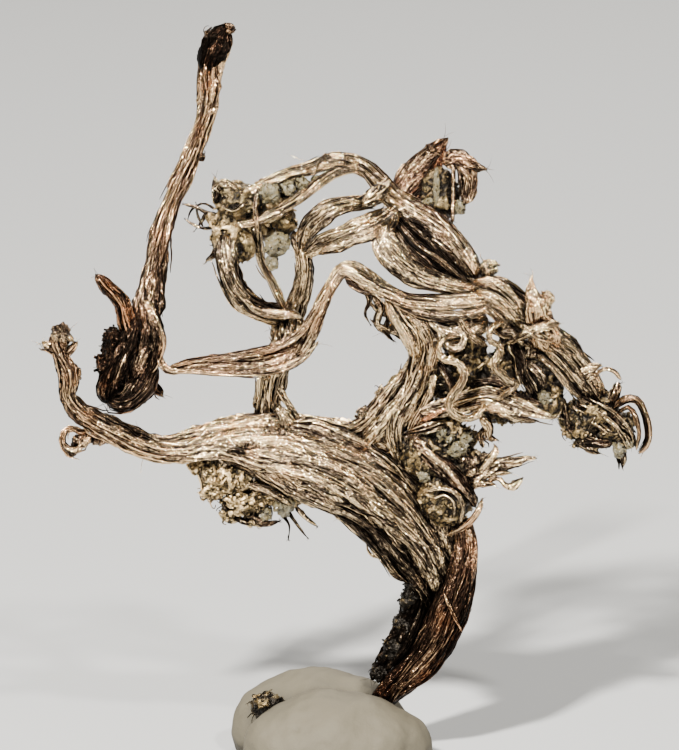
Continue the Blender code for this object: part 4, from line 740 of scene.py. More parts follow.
        Strand([(45.6, 16.6, 2.8, 0.5), (46.8, 17.6, 2.6, 0.9), (46.8, 19.2, 2.3, 0.8),
                (46.3, 20.6, 2.1, 0.3)], flat=0.35, rough=1.0),
        Strand([(47.4, 16.9, 2.5, 0.3), (47.2, 18.4, 2.2, 0.4), (47.0, 19.8, 2.0, 0.15)],
               flat=0.4, rough=1.0, dark=0.1),
        Strand([(45.3, 16.6, 2.6, 0.2), (45.3, 19.4, 2.0, 0.2), (45.2, 22.4, 1.4, 0.2)],
               rough=0.2, wires=0.3),
    ]),
]

RIGHT_SIDE = [
    ("shoulder_inner", SILVER, Look((-0.22, -0.14), (0.15, 0.15)), [
        Strand([(46.6, 28.8, 0.1, 1.0), (48.4, 29.0, -0.2, 1.6), (50.2, 29.9, -0.4, 1.9),
                (52.0, 31.2, -0.2, 1.7), (53.8, 33.2, 0.3, 1.3)], flat=0.95, rough=0.3,
               dark=0.12),
        Strand([(47.2, 28.4, -0.8, 0.4), (49.0, 28.2, -1.6, 0.5), (50.8, 29.4, -1.8, 0.55),
                (52.0, 30.8, -1.6, 0.4)], rough=0.2),
        Strand([(47.4, 29.2, -1.2, 0.4), (49.0, 29.6, -2.2, 0.5), (50.6, 30.8, -2.2, 0.5),
                (51.8, 32.2, -1.8, 0.4)], rough=0.2),
        Strand([(47.6, 30.2, -1.2, 0.35), (48.8, 30.9, -1.9, 0.4), (50.0, 32.0, -1.9, 0.4),
                (51.0, 33.0, -1.4, 0.3)], rough=0.2, dark=0.05),
        Lump((48.8, 27.0, 0.4), (1.0, 0.8, 1.0)),
        Lump((54.6, 29.8, 0.9), (0.7, 0.7, 0.8)),
        Strand([(53.1, 27.6, -0.9, 0.08), (53.1, 28.9, -1.2, 0.5), (53.3, 30.4, -1.4, 1.0),
                (53.6, 31.9, -1.3, 1.4), (54.4, 33.4, -0.7, 1.5), (55.4, 35.0, 0.2, 1.2)],
               flat=0.75, rough=1.0, copper=0.25),
        Strand([(50.8, 34.4, -1.4, 0.2), (52.4, 33.4, -2.3, 0.4), (54.4, 32.6, -2.5, 0.45),
                (56.0, 32.4, -1.4, 0.15)], rough=0.9),
        Strand([(51.6, 32.2, -1.6, 0.2), (53.0, 33.2, -2.6, 0.35), (54.4, 34.0, -2.2, 0.3),
                (55.4, 34.2, -1.2, 0.12)], rough=0.9),
    ]),
    ("shoulder_outer", SILVER, Look((0.0, 0.05), (0.1, 0.15)), [
        Strand([(52.6, 32.2, 0.2, 1.0), (54.2, 33.4, 0.6, 1.3), (56.0, 35.0, 1.1, 1.7),
                (57.8, 37.0, 1.7, 1.75), (59.2, 39.0, 2.3, 1.4), (60.2, 40.8, 2.6, 1.0)],
               flat=0.9, rough=0.4),
        Strand([(54.0, 32.7, -0.2, 0.4), (56.2, 34.1, 0.0, 0.55), (58.2, 36.1, 0.6, 0.55),
                (59.6, 38.1, 1.4, 0.4)], rough=0.3),
        Strand([(53.4, 33.8, -0.5, 0.4), (55.6, 35.3, -0.5, 0.6), (57.3, 37.2, 0.1, 0.6),
                (58.9, 39.4, 1.1, 0.4)], rough=0.3),
        Strand([(53.8, 35.4, -0.4, 0.3), (55.6, 37.0, -0.4, 0.4), (57.0, 38.8, 0.2, 0.35),
                (58.2, 39.8, 0.8, 0.15)], rough=0.4),
        Strand([(57.6, 37.4, 0.6, 0.4), (58.8, 36.9, 0.4, 0.55), (60.2, 36.5, 0.6, 0.15)],
               flat=0.5, rough=0.8),
        Strand([(58.4, 38.0, 0.4, 0.3), (59.2, 37.6, 0.2, 0.3), (59.8, 37.7, 0.3, 0.1)],
               flat=0.5, rough=0.8),
        Lump((53.4, 34.9, 0.8), (1.2, 1.0, 1.1)),
    ]),
    ("end_cluster", TAN_CRUST, Look((0.32, 0.32), (0.2, 0.2)), [
        Strand([(57.8, 40.0, 1.8, 0.5), (59.6, 41.4, 1.6, 0.6), (61.8, 42.9, 1.4, 0.5),
                (63.6, 44.6, 1.3, 0.3)], rough=1.0, dark=0.1),
        Strand([(57.4, 39.4, 1.3, 0.25), (59.4, 40.6, 0.9, 0.35), (61.6, 42.0, 0.7, 0.4),
                (63.2, 43.6, 0.8, 0.3), (63.8, 44.8, 1.2, 0.15)], flat=0.6, rough=1.0, dark=-0.1),
        Strand([(57.2, 40.6, 1.4, 0.2), (59.4, 41.9, 0.9, 0.3), (61.2, 43.2, 0.8, 0.25),
                (62.8, 45.0, 1.1, 0.1)], rough=1.0, dark=-0.15),
        Strand([(58.0, 40.4, 0.9, 0.12), (59.8, 41.2, 0.5, 0.16), (61.8, 42.9, 0.3, 0.16),
                (62.9, 44.9, 0.6, 0.1)], rough=0.5, dark=-0.3),
        Strand([(59.0, 39.9, 0.8, 0.12), (61.2, 41.0, 0.3, 0.16), (62.8, 42.6, 0.2, 0.16),
                (63.6, 44.4, 0.5, 0.1)], rough=0.5, dark=-0.3),
        Strand([(58.2, 41.8, 0.8, 0.1), (59.8, 42.5, 0.4, 0.15), (61.0, 43.4, 0.3, 0.14)],
               rough=0.5, dark=-0.3),
        Strand([(56.8, 42.6, 1.4, 0.25), (58.4, 43.9, 0.9, 0.35), (60.4, 44.5, 0.7, 0.35),
                (61.6, 44.2, 0.8, 0.15)], rough=1.0, dark=-0.1),
        Strand([(57.6, 44.0, 1.6, 0.3), (59.0, 44.9, 1.2, 0.35), (60.2, 45.4, 1.2, 0.15)],
               rough=1.0),
        Lump((57.4, 42.0, 2.8), (1.3, 1.8, 1.4)),
        Lump((59.2, 43.8, 2.2), (1.6, 1.2, 1.4)),
        Lump((60.8, 40.5, 2.2), (1.2, 1.2, 1.2)),
        Lump((62.0, 42.8, 1.9), (1.5, 1.6, 1.4)),
        Lump((59.4, 41.6, 1.4), (1.7, 1.3, 1.2)),
        Lump((61.4, 43.4, 1.2), (1.3, 1.2, 0.9)),
        Lump((58.6, 43.0, 1.4), (1.3, 1.1, 1.0)),
        Crystal((62.0, 44.9, 1.0), (0.9, 0.6, 0.8), facing=2),
        Crystal((63.0, 44.4, 1.0), (0.5, 0.5, 0.6), facing=4),
        Strand([(62.2, 45.0, 1.8, 0.5), (62.4, 46.1, 1.8, 0.35), (62.4, 47.0, 1.8, 0.1)],
               rough=0.8, fibres=1),
        Strand([(56.2, 39.6, 1.6, 0.3), (56.6, 41.4, 1.2, 0.35), (56.8, 43.0, 1.2, 0.2)],
               rough=0.9),
        Strand([(55.0, 39.4, 1.0, 0.2), (55.8, 40.8, 0.8, 0.3), (55.2, 42.0, 0.8, 0.15)],
               rough=0.9),
    ]),
    ("end_hook", SILVER, Look((0.05, 0.1), (0.3, 0.35)), [
        Strand([(61.2, 41.0, 1.6, 0.3), (62.6, 39.9, 1.0, 0.35), (63.8, 40.0, 0.6, 0.32),
                (64.5, 41.3, 0.3, 0.28), (64.9, 42.9, 0.3, 0.28), (64.8, 44.3, 0.5, 0.28),
                (64.0, 45.4, 1.0, 0.2)], flat=1.8, rough=0.6, copper=0.2),
        Strand([(61.8, 41.4, 1.2, 0.2), (62.8, 40.7, 0.4, 0.2), (63.6, 41.6, -0.2, 0.2),
                (64.0, 43.4, -0.2, 0.2), (63.7, 45.0, 0.4, 0.16)], flat=1.4, rough=0.6,
               copper=0.2),
        Strand([(59.0, 37.8, 0.6, 0.3), (60.4, 36.9, 0.2, 0.2), (61.5, 37.2, 0.0, 0.2),
                (62.1, 38.0, 0.2, 0.15)], flat=1.3, rough=0.4, wires=0.3),
        Strand([(61.0, 41.0, 1.6, 0.4), (61.4, 39.6, 1.4, 0.4), (62.0, 38.2, 1.4, 0.25)],
               rough=1.0, dark=0.1),
    ]),
    ("curl_crust", CRUST, Look((0.4, 0.4), (0.1, 0.1), 0.6), [
        Lump((46.2, 37.8, 0.6), (2.3, 3.2, 1.6)),
        Lump((50.2, 37.2, 0.4), (2.0, 2.4, 1.5)),
        Lump((50.6, 40.6, 0.0), (3.2, 1.7, 1.4)),
        Lump((54.4, 38.2, 1.4), (2.1, 2.0, 1.5)),
        Lump((46.6, 34.6, 0.8), (2.2, 1.6, 1.0)),
        Lump((51.2, 35.0, 0.8), (1.8, 1.7, 1.0)),
        Lump((53.4, 36.4, 1.2), (1.6, 1.8, 1.0)),
        Lump((55.0, 40.3, 0.8), (1.4, 1.2, 1.0)),
        Lump((50.8, 33.0, 0.8), (1.8, 1.0, 0.9)),
        Lump((44.0, 38.0, 0.7), (1.2, 1.9, 0.9)),
        Strand([(48.8, 32.2, -1.0, 0.3), (50.0, 33.2, -1.6, 0.35), (51.4, 33.4, -1.6, 0.35),
                (52.2, 34.6, -1.4, 0.2)], rough=1.0, dark=-0.3),
        Crystal((48.4, 38.8, -1.0), (0.9, 0.8, 0.6), facing=3),
        Crystal((54.6, 39.8, 0.2), (0.9, 0.6, 0.6), facing=5),
        Strand([(51.0, 33.8, 0.2, 0.5), (51.8, 35.6, -0.6, 0.6), (52.2, 37.6, -1.0, 0.5),
                (53.2, 39.4, -1.0, 0.3)], rough=1.0),
        Strand([(52.4, 36.0, -0.4, 0.3), (53.9, 37.2, -0.8, 0.4), (54.4, 38.8, -0.8, 0.3)],
               rough=0.9),
        Strand([(47.2, 38.2, -1.4, 0.25), (49.6, 38.4, -1.8, 0.4), (51.8, 39.8, -1.8, 0.4),
                (54.2, 40.4, -1.8, 0.15)], rough=0.7),
        Strand([(43.8, 36.2, -0.8, 0.3), (45.0, 38.2, -1.6, 0.4), (45.4, 40.0, -1.8, 0.3)],
               rough=0.8),
    ]),
    ("basket_crust", CRUST, Look((0.27, 0.27), (0.1, 0.1), 0.7), [
        Lump((43.0, 45.4, -0.6), (3.0, 2.4, 1.8)),
        Lump((44.6, 49.8, -0.8), (2.6, 2.9, 1.7)),
        Lump((44.2, 42.8, -0.2), (2.2, 1.5, 1.3)),
        Lump((46.4, 43.8, -0.4), (1.4, 1.3, 1.1)),
        Lump((46.6, 46.6, -0.6), (1.5, 2.0, 1.2)),
        Lump((40.8, 44.5, 0.0), (1.2, 1.4, 1.0)),
        Crystal((45.8, 45.0, -1.9), (0.8, 1.1, 0.6), facing=1),
        Crystal((46.6, 43.8, -1.5), (0.5, 0.7, 0.5), facing=5),
        Crystal((42.4, 47.6, -2.0), (0.7, 0.6, 0.5), facing=2),
        Crystal((44.2, 43.4, -1.6), (0.7, 0.5, 0.5), facing=4),
        Crystal((45.0, 43.9, -1.7), (0.4, 0.5, 0.4), facing=6),
        Strand([(41.0, 43.8, -1.6, 0.5), (42.8, 45.4, -2.3, 0.8), (44.9, 47.2, -2.6, 0.9),
                (46.6, 49.2, -2.4, 0.65), (47.6, 50.8, -1.8, 0.3)], flat=0.5, rough=0.8,
               wires=0.6, copper=0.3, dark=-0.05),
        Strand([(42.4, 49.2, -2.3, 0.15), (44.0, 48.7, -2.9, 0.17), (45.5, 49.2, -3.1, 0.17),
                (46.3, 50.5, -3.0, 0.17), (46.0, 52.4, -2.0, 0.2)], rough=0.3, dark=-0.35),
        Strand([(43.2, 50.0, -2.4, 0.12), (44.4, 49.5, -2.8, 0.13), (45.4, 50.3, -2.9, 0.13),
                (45.4, 51.8, -2.4, 0.13)], rough=0.3, dark=-0.35),
        Strand([(44.8, 53.6, -1.2, 0.2), (46.6, 52.6, -2.0, 0.3), (47.8, 51.2, -2.2, 0.35),
                (48.3, 49.8, -1.8, 0.15)], flat=0.6, rough=0.4, copper=0.4, dark=-0.2),
        Strand([(40.6, 43.4, -1.0, 0.3), (42.6, 43.0, -1.8, 0.4), (44.6, 42.4, -1.8, 0.3)],
               rough=1.0),
        Strand([(42.0, 42.2, -1.6, 0.15), (43.4, 41.4, -2.2, 0.3), (44.9, 40.7, -2.2, 0.12)],
               flat=0.5, rough=0.6, copper=0.9, dark=-0.3, wires=0.0),
    ]),
    ("spur", SILVER, Look((0.2, 0.02), (0.25, 0.25)), [
        Strand([(45.4, 48.8, -0.8, 0.9), (47.2, 47.8, -1.4, 1.0), (49.2, 46.8, -2.0, 0.8),
                (50.8, 46.3, -2.8, 0.5), (52.4, 45.9, -3.3, 0.3), (53.7, 45.8, -3.8, 0.08)],
               flat=0.7, rough=1.0),
        Strand([(47.8, 47.4, -2.0, 0.3), (48.6, 46.4, -2.6, 0.3), (49.5, 45.2, -2.8, 0.3),
                (49.4, 44.4, -2.8, 0.1)], rough=1.0),
        Strand([(48.2, 46.8, -2.2, 0.35), (49.8, 46.1, -2.8, 0.3), (50.8, 45.9, -3.1, 0.1)],
               rough=1.0),
        Strand([(49.6, 46.4, -2.8, 0.25), (51.0, 46.5, -3.2, 0.25), (52.2, 46.4, -3.4, 0.08)],
               rough=1.0),
        Strand([(46.8, 48.2, -1.4, 0.7), (48.2, 48.3, -1.9, 0.45), (49.6, 48.5, -2.2, 0.12)],
               rough=1.0),
        Strand([(48.6, 48.2, -2.0, 0.25), (49.8, 47.9, -2.4, 0.2), (50.6, 48.6, -2.5, 0.2),
                (51.4, 48.5, -2.7, 0.4), (52.3, 47.7, -2.8, 0.1)], flat=0.5, rough=1.0),
        Strand([(48.8, 47.8, -2.2, 0.3), (50.0, 47.3, -2.6, 0.25), (51.2, 47.3, -2.7, 0.08)],
               rough=1.0),
        Strand([(47.9, 41.6, -2.2, 0.3), (48.8, 42.8, -2.2, 0.4), (48.9, 43.7, -2.0, 0.35),
                (49.9, 44.0, -2.0, 0.12)], rough=1.0),
        Strand([(48.6, 42.6, -1.8, 0.3), (48.0, 43.6, -1.8, 0.35), (48.3, 44.8, -1.8, 0.3)],
               rough=1.0),
        Lump((47.4, 46.6, -1.6), (1.1, 1.1, 1.0)),
        Lump((48.4, 45.8, -1.6), (0.7, 0.8, 0.7)),
    ]),
    ("side_flake", SILVER, Look((0.1, 0.0), (0.1, 0.1)), [
        Strand([(42.0, 41.2, -1.4, 0.8), (45.2, 40.6, -2.0, 0.9), (48.0, 39.8, -2.6, 1.2),
                (50.0, 40.0, -3.0, 1.2), (52.6, 41.0, -3.6, 0.7), (55.5, 41.8, -4.2, 0.12)],
               flat=0.35),
        Strand([(49.6, 40.8, -3.0, 0.6), (51.6, 41.7, -3.4, 0.4), (53.5, 42.1, -3.8, 0.12)],
               flat=0.45),
    ]),
    ("curl_left", SILVER, Look((-0.15, -0.15), (0.1, 0.1)), [
        Strand([(45.6, 33.6, -2.0, 0.3), (44.4, 33.9, -3.0, 0.25), (43.8, 34.8, -3.4, 0.25),
                (44.3, 35.9, -3.7, 0.25), (45.4, 36.1, -4.0, 0.28), (46.3, 36.9, -4.3, 0.3),
                (46.3, 37.9, -4.5, 0.3), (45.7, 38.9, -4.5, 0.3), (45.0, 39.9, -4.4, 0.3),
                (45.0, 40.9, -4.3, 0.3), (45.8, 41.6, -4.2, 0.3), (46.9, 41.8, -4.1, 0.3),
                (47.8, 41.3, -3.7, 0.3), (48.5, 40.3, -3.0, 0.28)], flat=2.2),
    ]),
    ("curl_right", SILVER, Look((-0.15, -0.15), (0.1, 0.1)), [
        Strand([(50.2, 32.2, -2.0, 0.3), (49.0, 32.9, -3.0, 0.25), (48.9, 34.1, -3.4, 0.25),
                (49.9, 34.6, -3.6, 0.25), (49.8, 35.6, -3.9, 0.28), (49.4, 36.6, -4.2, 0.3),
                (50.6, 37.9, -4.2, 0.3), (51.6, 38.4, -4.0, 0.28), (50.6, 39.2, -3.6, 0.28),
                (49.6, 40.0, -3.0, 0.28)], flat=2.0),
    ]),
]


def unit(vectors):
    """The same vectors, one unit long."""
    return vectors / np.maximum(np.linalg.norm(vectors, axis=1, keepdims=True), SHORTEST)


def hashed(cells, seed):
    """Random number from 0 to 1 for each cell of a lattice."""
    first, second, third = (cells * CELL_FACTORS).T
    mixed = ((first ^ second ^ third) + seed * SEED_FACTOR) * STIR_FACTORS[0]
    mixed = (mixed ^ (mixed >> 13)) * STIR_FACTORS[1]
    return ((mixed ^ (mixed >> 16)) & 0xFFFF) / 0xFFFF


def waves(points, seed):
    """Smooth random number from -1 to 1 at each point, that changes over a unit of length."""
    cells = np.floor(points).astype(np.int64)
    inside = points - cells
    inside = inside * inside * (3 - 2 * inside)
    total = np.zeros(len(points))
    for corner in itertools.product((0, 1), repeat=3):
        corner = np.array(corner)
        weight = np.prod(np.where(corner, inside, 1 - inside), axis=1)
        total += weight * hashed(cells + corner, seed)
    return 2 * total - 1


def ridges(points, seed):
    """Rounded ridges of height 1, with sharp grooves of height 0 between them."""
    return np.minimum(1.0, np.abs(waves(points, seed)) * RIDGE_GAIN) ** RIDGE_ROUNDNESS


def facets(points, seed):
    """Height of flat facets, about a unit wide and tilted at random, at each point.

    Each facet draws three numbers for its middle, three for its tilt and one for its height.
    """
    home = np.floor(points - 0.5).astype(np.int64)
    nearest = np.full(len(points), np.inf)
    height = np.zeros(len(points))
    for corner in itertools.product((0, 1), repeat=3):
        cells = home + np.array(corner)
        drawn = np.column_stack([hashed(cells, seed + number) for number in range(7)])
        away = points - cells - drawn[:, :3]
        gap = (away**2).sum(axis=1)
        closer = gap < nearest
        nearest[closer] = gap[closer]
        tilted = (away * (drawn[:, 3:6] - 0.5)).sum(axis=1) * FACET_TILT + drawn[:, 6] - 0.5
        height[closer] = tilted[closer]
    return height


class Course:
    """Path of a strand: its place, half width and section's axes at any length along it."""

    def __init__(self, strand, seed):
        self.strand = strand
        self.seed = seed
        knots = np.array([[*seen(*point[:3]), point[3] * MM] for point in strand.points])
        knots = np.vstack([2 * knots[0] - knots[1], knots, 2 * knots[-1] - knots[-2]])
        t = (np.arange(SPAN_STEPS) / SPAN_STEPS)[:, None]
        spans = []
        for before, start, end, after in zip(knots, knots[1:], knots[2:], knots[3:]):
            spans.append(
                start * (2 * t**3 - 3 * t**2 + 1)
                + (end - before) / 2 * (t**3 - 2 * t**2 + t)
                + end * (3 * t**2 - 2 * t**3)
                + (after - start) / 2 * (t**3 - t**2)
            )
        stations = np.vstack([*spans, knots[-2:-1]])
        places = stations[:, :3]
        steps = np.linalg.norm(np.diff(places, axis=0), axis=1)
        self.marks = np.concatenate([[0.0], np.cumsum(steps)])
        self.total = self.marks[-1]
        ways = unit(np.gradient(places, axis=0))
        sides = unit(np.cross(EYE, ways))
        fronts = np.cross(ways, sides)
        turns = np.radians(np.linspace(*strand.turn, len(places)))[:, None]
        turned_sides = sides * np.cos(turns) + fronts * np.sin(turns)
        turned_fronts = fronts * np.cos(turns) - sides * np.sin(turns)
        self.columns = np.hstack([stations, ways, turned_sides, turned_fronts]).T
        self.half_width = float(stations[:, 3].mean())

    def at(self, lengths):
        """Place, half width, way, side and front at each length."""
        found = np.stack([np.interp(lengths, self.marks, c) for c in self.columns], axis=1)
        return found[:, :3], found[:, 3], unit(found[:, 4:7]), found[:, 7:10], found[:, 10:]

    def skin(self, lengths, angles, settings):
        """Points of the skin, the ways out of it, its ridges' heights and its own coordinates."""
        places, halves, ways, sides, fronts = self.at(lengths)
        seed = self.seed
        swept = angles + GROOVE_SWAY * np.sin(lengths / GROOVE_SWAY_LENGTH + seed)
        cos, sin = np.cos(swept)[:, None], np.sin(swept)[:, None]
        flat = self.strand.flat
        rough = self.strand.rough
        section = np.hstack([
            cos * halves[:, None], sin * halves[:, None] * flat, lengths[:, None]
        ])
        spacing = settings.groove_spacing
        limbs = ridges(section / (LIMBS * spacing), seed + 1)
        main = ridges(section / (GROOVES * spacing), seed + 2)
        fine = ridges(section / (FINE_GROOVES * spacing), seed + 3)
        thinness = np.minimum(1.0, halves / (LIMBS[0] * spacing))
        depth = settings.groove_depth * thinness
        swell = waves(section / SWELL_SIZE, seed + 4)
        flakes = facets(section / FLAKE_SIZE, seed + 6) * rough
        small = facets(section / (SMALL_FLAKE * FLAKE_SIZE), seed + 16)
        flakes += SMALL_FLAKE_DEPTH * small * rough
        height = (
            (main - RIDGE_MIDDLE) * depth
            + (fine - RIDGE_MIDDLE) * depth * FINE_DEPTH
            + (limbs - LIMB_MIDDLE) * halves * LIMB_DEPTH
            + swell * halves * SWELL * (SMOOTH_SWELL + ROUGH_SWELL * rough)
            + flakes * FLAKE_DEPTH * (THIN_FLAKES + (1 - THIN_FLAKES) * thinness)
        )
        left = np.minimum(lengths, self.total - lengths)
        jag = 1 + END_JAG * waves(section / JAG_SIZE, seed + 5)
        share = np.clip(left / (END_LENGTH * halves * jag), 0.0, 1.0)
        rounding = END_WIDTH + (1 - END_WIDTH) * np.sqrt(1 - (1 - share) ** 2)
        out = sides * np.cos(angles)[:, None] + fronts * np.sin(angles)[:, None]
        across = (halves + height) * rounding * np.cos(angles)
        deep = (halves * flat + height) * rounding * np.sin(angles)
        points = places + sides * across[:, None] + fronts * deep[:, None]
        level = GROOVE_LEVEL * main + FINE_LEVEL * fine + LIMB_LEVEL * limbs - LEVEL_SINK
        level = level + FLAKE_LEVEL * flakes
        unevenness = CALMEST + (1 - CALMEST) * rough
        level = np.clip(CALM_LEVEL + (level - CALM_LEVEL) * unevenness, 0.0, 1.0)
        return points, out, level, section / MM


TEMPLATES = {}


def kept(key, make):
    """Template mesh made by a function once, and the places of its points."""
    if key not in TEMPLATES:
        bm = bmesh.new()
        make(bm)
        mesh = bpy.data.meshes.new("template")
        bm.to_mesh(mesh)
        bm.free()
        smooth = key[0] not in ("crystal", "grain")
        mesh.polygons.foreach_set("use_smooth", [smooth] * len(mesh.polygons))
        index = {"tube": METAL, "crystal": FACES}.get(key[0], GRANULES)
        mesh.polygons.foreach_set("material_index", [index] * len(mesh.polygons))
        TEMPLATES[key] = (mesh, read(mesh.vertices, "co"))
    return TEMPLATES[key]


def tube(sides, rings):
    """Closed tube, with the angle and ring of each point and whether it is an end's middle."""
    def make(bm):
        bmesh.ops.create_cone(
            bm, cap_ends=True, cap_tris=True, segments=sides, radius1=1, radius2=1, depth=1
        )
        lengthwise = [e for e in bm.edges if abs(e.verts[0].co.z - e.verts[1].co.z) > 0.5]
        bmesh.ops.subdivide_edges(bm, edges=lengthwise, cuts=rings - 2)

    mesh, places = kept(("tube", sides, rings), make)
    ring = np.rint((places[:, 2] + 0.5) * (rings - 1)).astype(int)
    angle = np.arctan2(places[:, 1], places[:, 0])
    middle = np.hypot(places[:, 0], places[:, 1]) < 0.5
    return mesh, angle, ring, middle


def ball(detail, kind="ball"):
    """Ball of radius 1. Crystals have their own."""
    return kept(
        (kind, detail),
        lambda bm: bmesh.ops.create_icosphere(bm, subdivisions=detail, radius=1),
    )


def grain():
    """Cube with worn edges, of half size 1."""
    def make(bm):
        bmesh.ops.create_cube(bm, size=2)
        bmesh.ops.bevel(
            bm, geom=bm.edges[:], offset=GRAIN_WEAR, segments=1, affect="EDGES", profile=0.5
        )

    return kept(("grain", 0), make)


class Growth:
    """Mesh of one piece while shapes are added to it, with the tarnish and painted shade at each of
    its points.
    """

    def __init__(self, strand_settings, crust_settings, look, seed):
        self.strand_settings = strand_settings
        self.crust_settings = crust_settings
        self.look = look
        self.random = np.random.default_rng(seed)
        self.seed = seed * PIECE_SEEDS
        self.bm = bmesh.new()
        self.tints = []

    def add(self, mesh, places, along, level, dark, copper):
        """Add a template with its points moved to the places."""
        mesh.vertices.foreach_set("co", places.ravel())
        self.bm.from_mesh(mesh)
        count = len(places)
        columns = [np.broadcast_to(value, count) for value in (level, dark, copper)]
        self.tints.append(np.column_stack([along, *columns]))

    def tarnish(self, share=0.5, strand=None):
        """Darkness, partly tarnish and partly painted shade, and copper tint at a share of a
        strand's length, or halfway.
        """
        dark = self.look.dark[0] + (self.look.dark[1] - self.look.dark[0]) * share
        copper = self.look.copper[0] + (self.look.copper[1] - self.look.copper[0]) * share
        if strand:
            dark = dark + strand.dark
            copper = copper + strand.copper
        return dark, copper

    def add_strand(self, strand):
        """Add a strand, the wires on it and the fibres at its ends."""
        settings = self.strand_settings
        self.seed += STRAND_SEEDS
        course = Course(strand, self.seed)
        around = math.pi * course.half_width * (1 + strand.flat)
        sides = int(np.clip(around / settings.mesh_step, *SIDES))
        rings = int(np.clip(course.total / settings.ring_step, *RINGS))
        mesh, angles, ring, middle = tube(sides, rings)
        lengths = course.total * ring / (rings - 1)
        points, out, level, along = course.skin(lengths, angles, settings)
        points[middle] = course.at(lengths[middle])[0]
        dark, copper = self.tarnish(ring / (rings - 1), strand)
        self.add(mesh, points, along, level, dark, copper)
        count = WIRES_PER_MM2 * strand.wires * around * course.total / MM**2
        for _ in range(round(count)):
            self.add_wire(course, settings)
        for end in (0.0, 1.0):
            for _ in range(strand.fibres):
                self.add_fibre(course, end, settings)

    def add_wire(self, course, settings):
        """Add a fine wire that lies along the strand's skin, and may leave it at an end."""
        random = self.random
        length = min(course.total, random.uniform(*WIRE_LENGTH) * MM)
        start = random.uniform(0, course.total - length)
        rings = int(np.clip(length / WIRE_STEP, *WIRE_RINGS))
        share = np.linspace(0, 1, rings)
        lengths = start + length * share
        drift = random.normal(0, WIRE_DRIFT) * share
        sway = random.uniform(0.0, WIRE_SWAY) * np.sin(share * random.uniform(*WIRE_SWAY_TURN))
        angles = random.uniform(0, 2 * math.pi) + drift + sway
        points, out, _, along = course.skin(lengths, angles, settings)
        radius = settings.wire_radius * random.uniform(*WIRE_THICKNESS)
        radius = min(radius, WIRE_MOST * course.half_width)
        radii = radius * (WIRE_TIP + (1 - WIRE_TIP) * np.sin(math.pi * share) ** WIRE_TAPER)
        lift = radius * (WIRE_LIFT - WIRE_SINK * np.abs(2 * share - 1) ** 6)
        if random.random() < LOOSE_WIRES:
            reach = random.uniform(*LOOSE_REACH) * radius
            lift = lift + reach * share**5 + WIRE_SINK * radius * share**6
        points = points + out * lift[:, None]
        dark, copper = self.tarnish(float(lengths.mean() / course.total), course.strand)
        bright = random.uniform(*WIRE_BRIGHTNESS)
        self.add_thread(points, radii, out, WIRE_SIDES, bright, dark, copper)

    def add_fibre(self, course, end, settings):
        """Add a hair-thin fibre that leaves an end of the strand."""
        random = self.random
        length = (end * (1 - 2 * FIBRE_INSET) + FIBRE_INSET) * course.total
        angle = random.uniform(0, 2 * math.pi)
        start, out, _, _ = course.skin(np.array([length]), np.array([angle]), settings)
        way = course.at(np.array([length]))[2][0] * (1 if end else -1)
        lean = out[0] * random.uniform(*FIBRE_LEAN)
        aim = unit((way + lean + random.normal(0, FIBRE_STRAY, 3))[None])[0]
        bend = random.normal(0, FIBRE_BEND, 3)
        longest = min(FIBRE_LENGTH * MM, course.half_width * FIBRE_LENGTH)
        reach = random.uniform(*FIBRE_REACH) * longest
        share = np.linspace(0, 1, THREAD_POINTS)[:, None]
        points = start + aim * reach * share + bend * reach * share**2
        radii = settings.fibre_radius * random.uniform(*FIBRE_THICKNESS)
        radii = radii * (1 - FIBRE_TAPER * share[:, 0])
        out = np.repeat(out, THREAD_POINTS, axis=0)
        dark, copper = self.tarnish(end, course.strand)
        self.add_thread(points, radii, out, THREAD_SIDES, FIBRE_LEVEL, dark, copper)

    def add_thread(self, centres, radii, out, sides, level, dark, copper):
        """Add a thin round thread along close-set centres."""
        mesh, angles, ring, middle = tube(sides, len(centres))
        ways = unit(np.gradient(centres, axis=0))
        across = unit(np.cross(out, ways))
        upward = np.cross(ways, across)
        radius = np.where(middle, 0.0, radii[ring])
        places = (
            centres[ring]
            + across[ring] * (radius * np.cos(angles))[:, None]
            + upward[ring] * (radius * np.sin(angles))[:, None]
        )
        along = np.column_stack([
            radius * np.cos(angles) + self.random.uniform(0, THREAD_SHIFT) * MM,
            radius * np.sin(angles),
            np.linspace(0, len(centres) * THREAD_STEP * MM, len(centres))[ring],
        ])
        self.add(mesh, places, along / MM, level, dark, copper)

    def add_lump(self, lump):
        """Add a knobbly lump."""
        mesh, ways = ball(LUMP_DETAIL)
        places = seen(*lump.centre) + ways * sizes_of(lump)
        rise, level = self.knobs(places)
        places = places + ways * (rise * min(lump.half) * MM * LUMP_ROUGHNESS)[:, None]
        self.add(mesh, places, places / MM, level, *self.tarnish())
        self.add_grains(places, ways, LUMP_GRAINS)

    def knobs(self, places):
        """Height of the crust's knobs at each place, about from -1 to 1, and from 0 to 1."""
        self.seed += KNOB_SEEDS
        knob = KNOB_SIZE * self.look.knob
        big = waves(places / (BIG_KNOB * knob), self.seed)
        middle = facets(places / knob, self.seed + 1)
        small = facets(places / (SMALL_KNOB * knob), self.seed + 2)
        rise, level = (
            shares[0] * big + shares[1] * middle + shares[2] * small
            for shares in (KNOB_RISE, KNOB_LEVEL)
        )
        return rise, np.clip(0.5 + level, 0.0, 1.0)

    def add_crust(self, lumps):
        """Add the skin around a group of lumps, with facets and grains on it."""
        settings = self.crust_settings
        mesh = merged_skin(lumps, settings.voxel)
        places, ways = (read(mesh.vertices, kind) for kind in ("co", "normal"))
        rise, level = self.knobs(places)
        places = places + ways * (rise * settings.knob_height * 0.5)[:, None]
        self.add(mesh, places, places / MM, level, *self.tarnish())
        bpy.data.meshes.remove(mesh)
        self.add_grains(places, ways, self.look.grains)

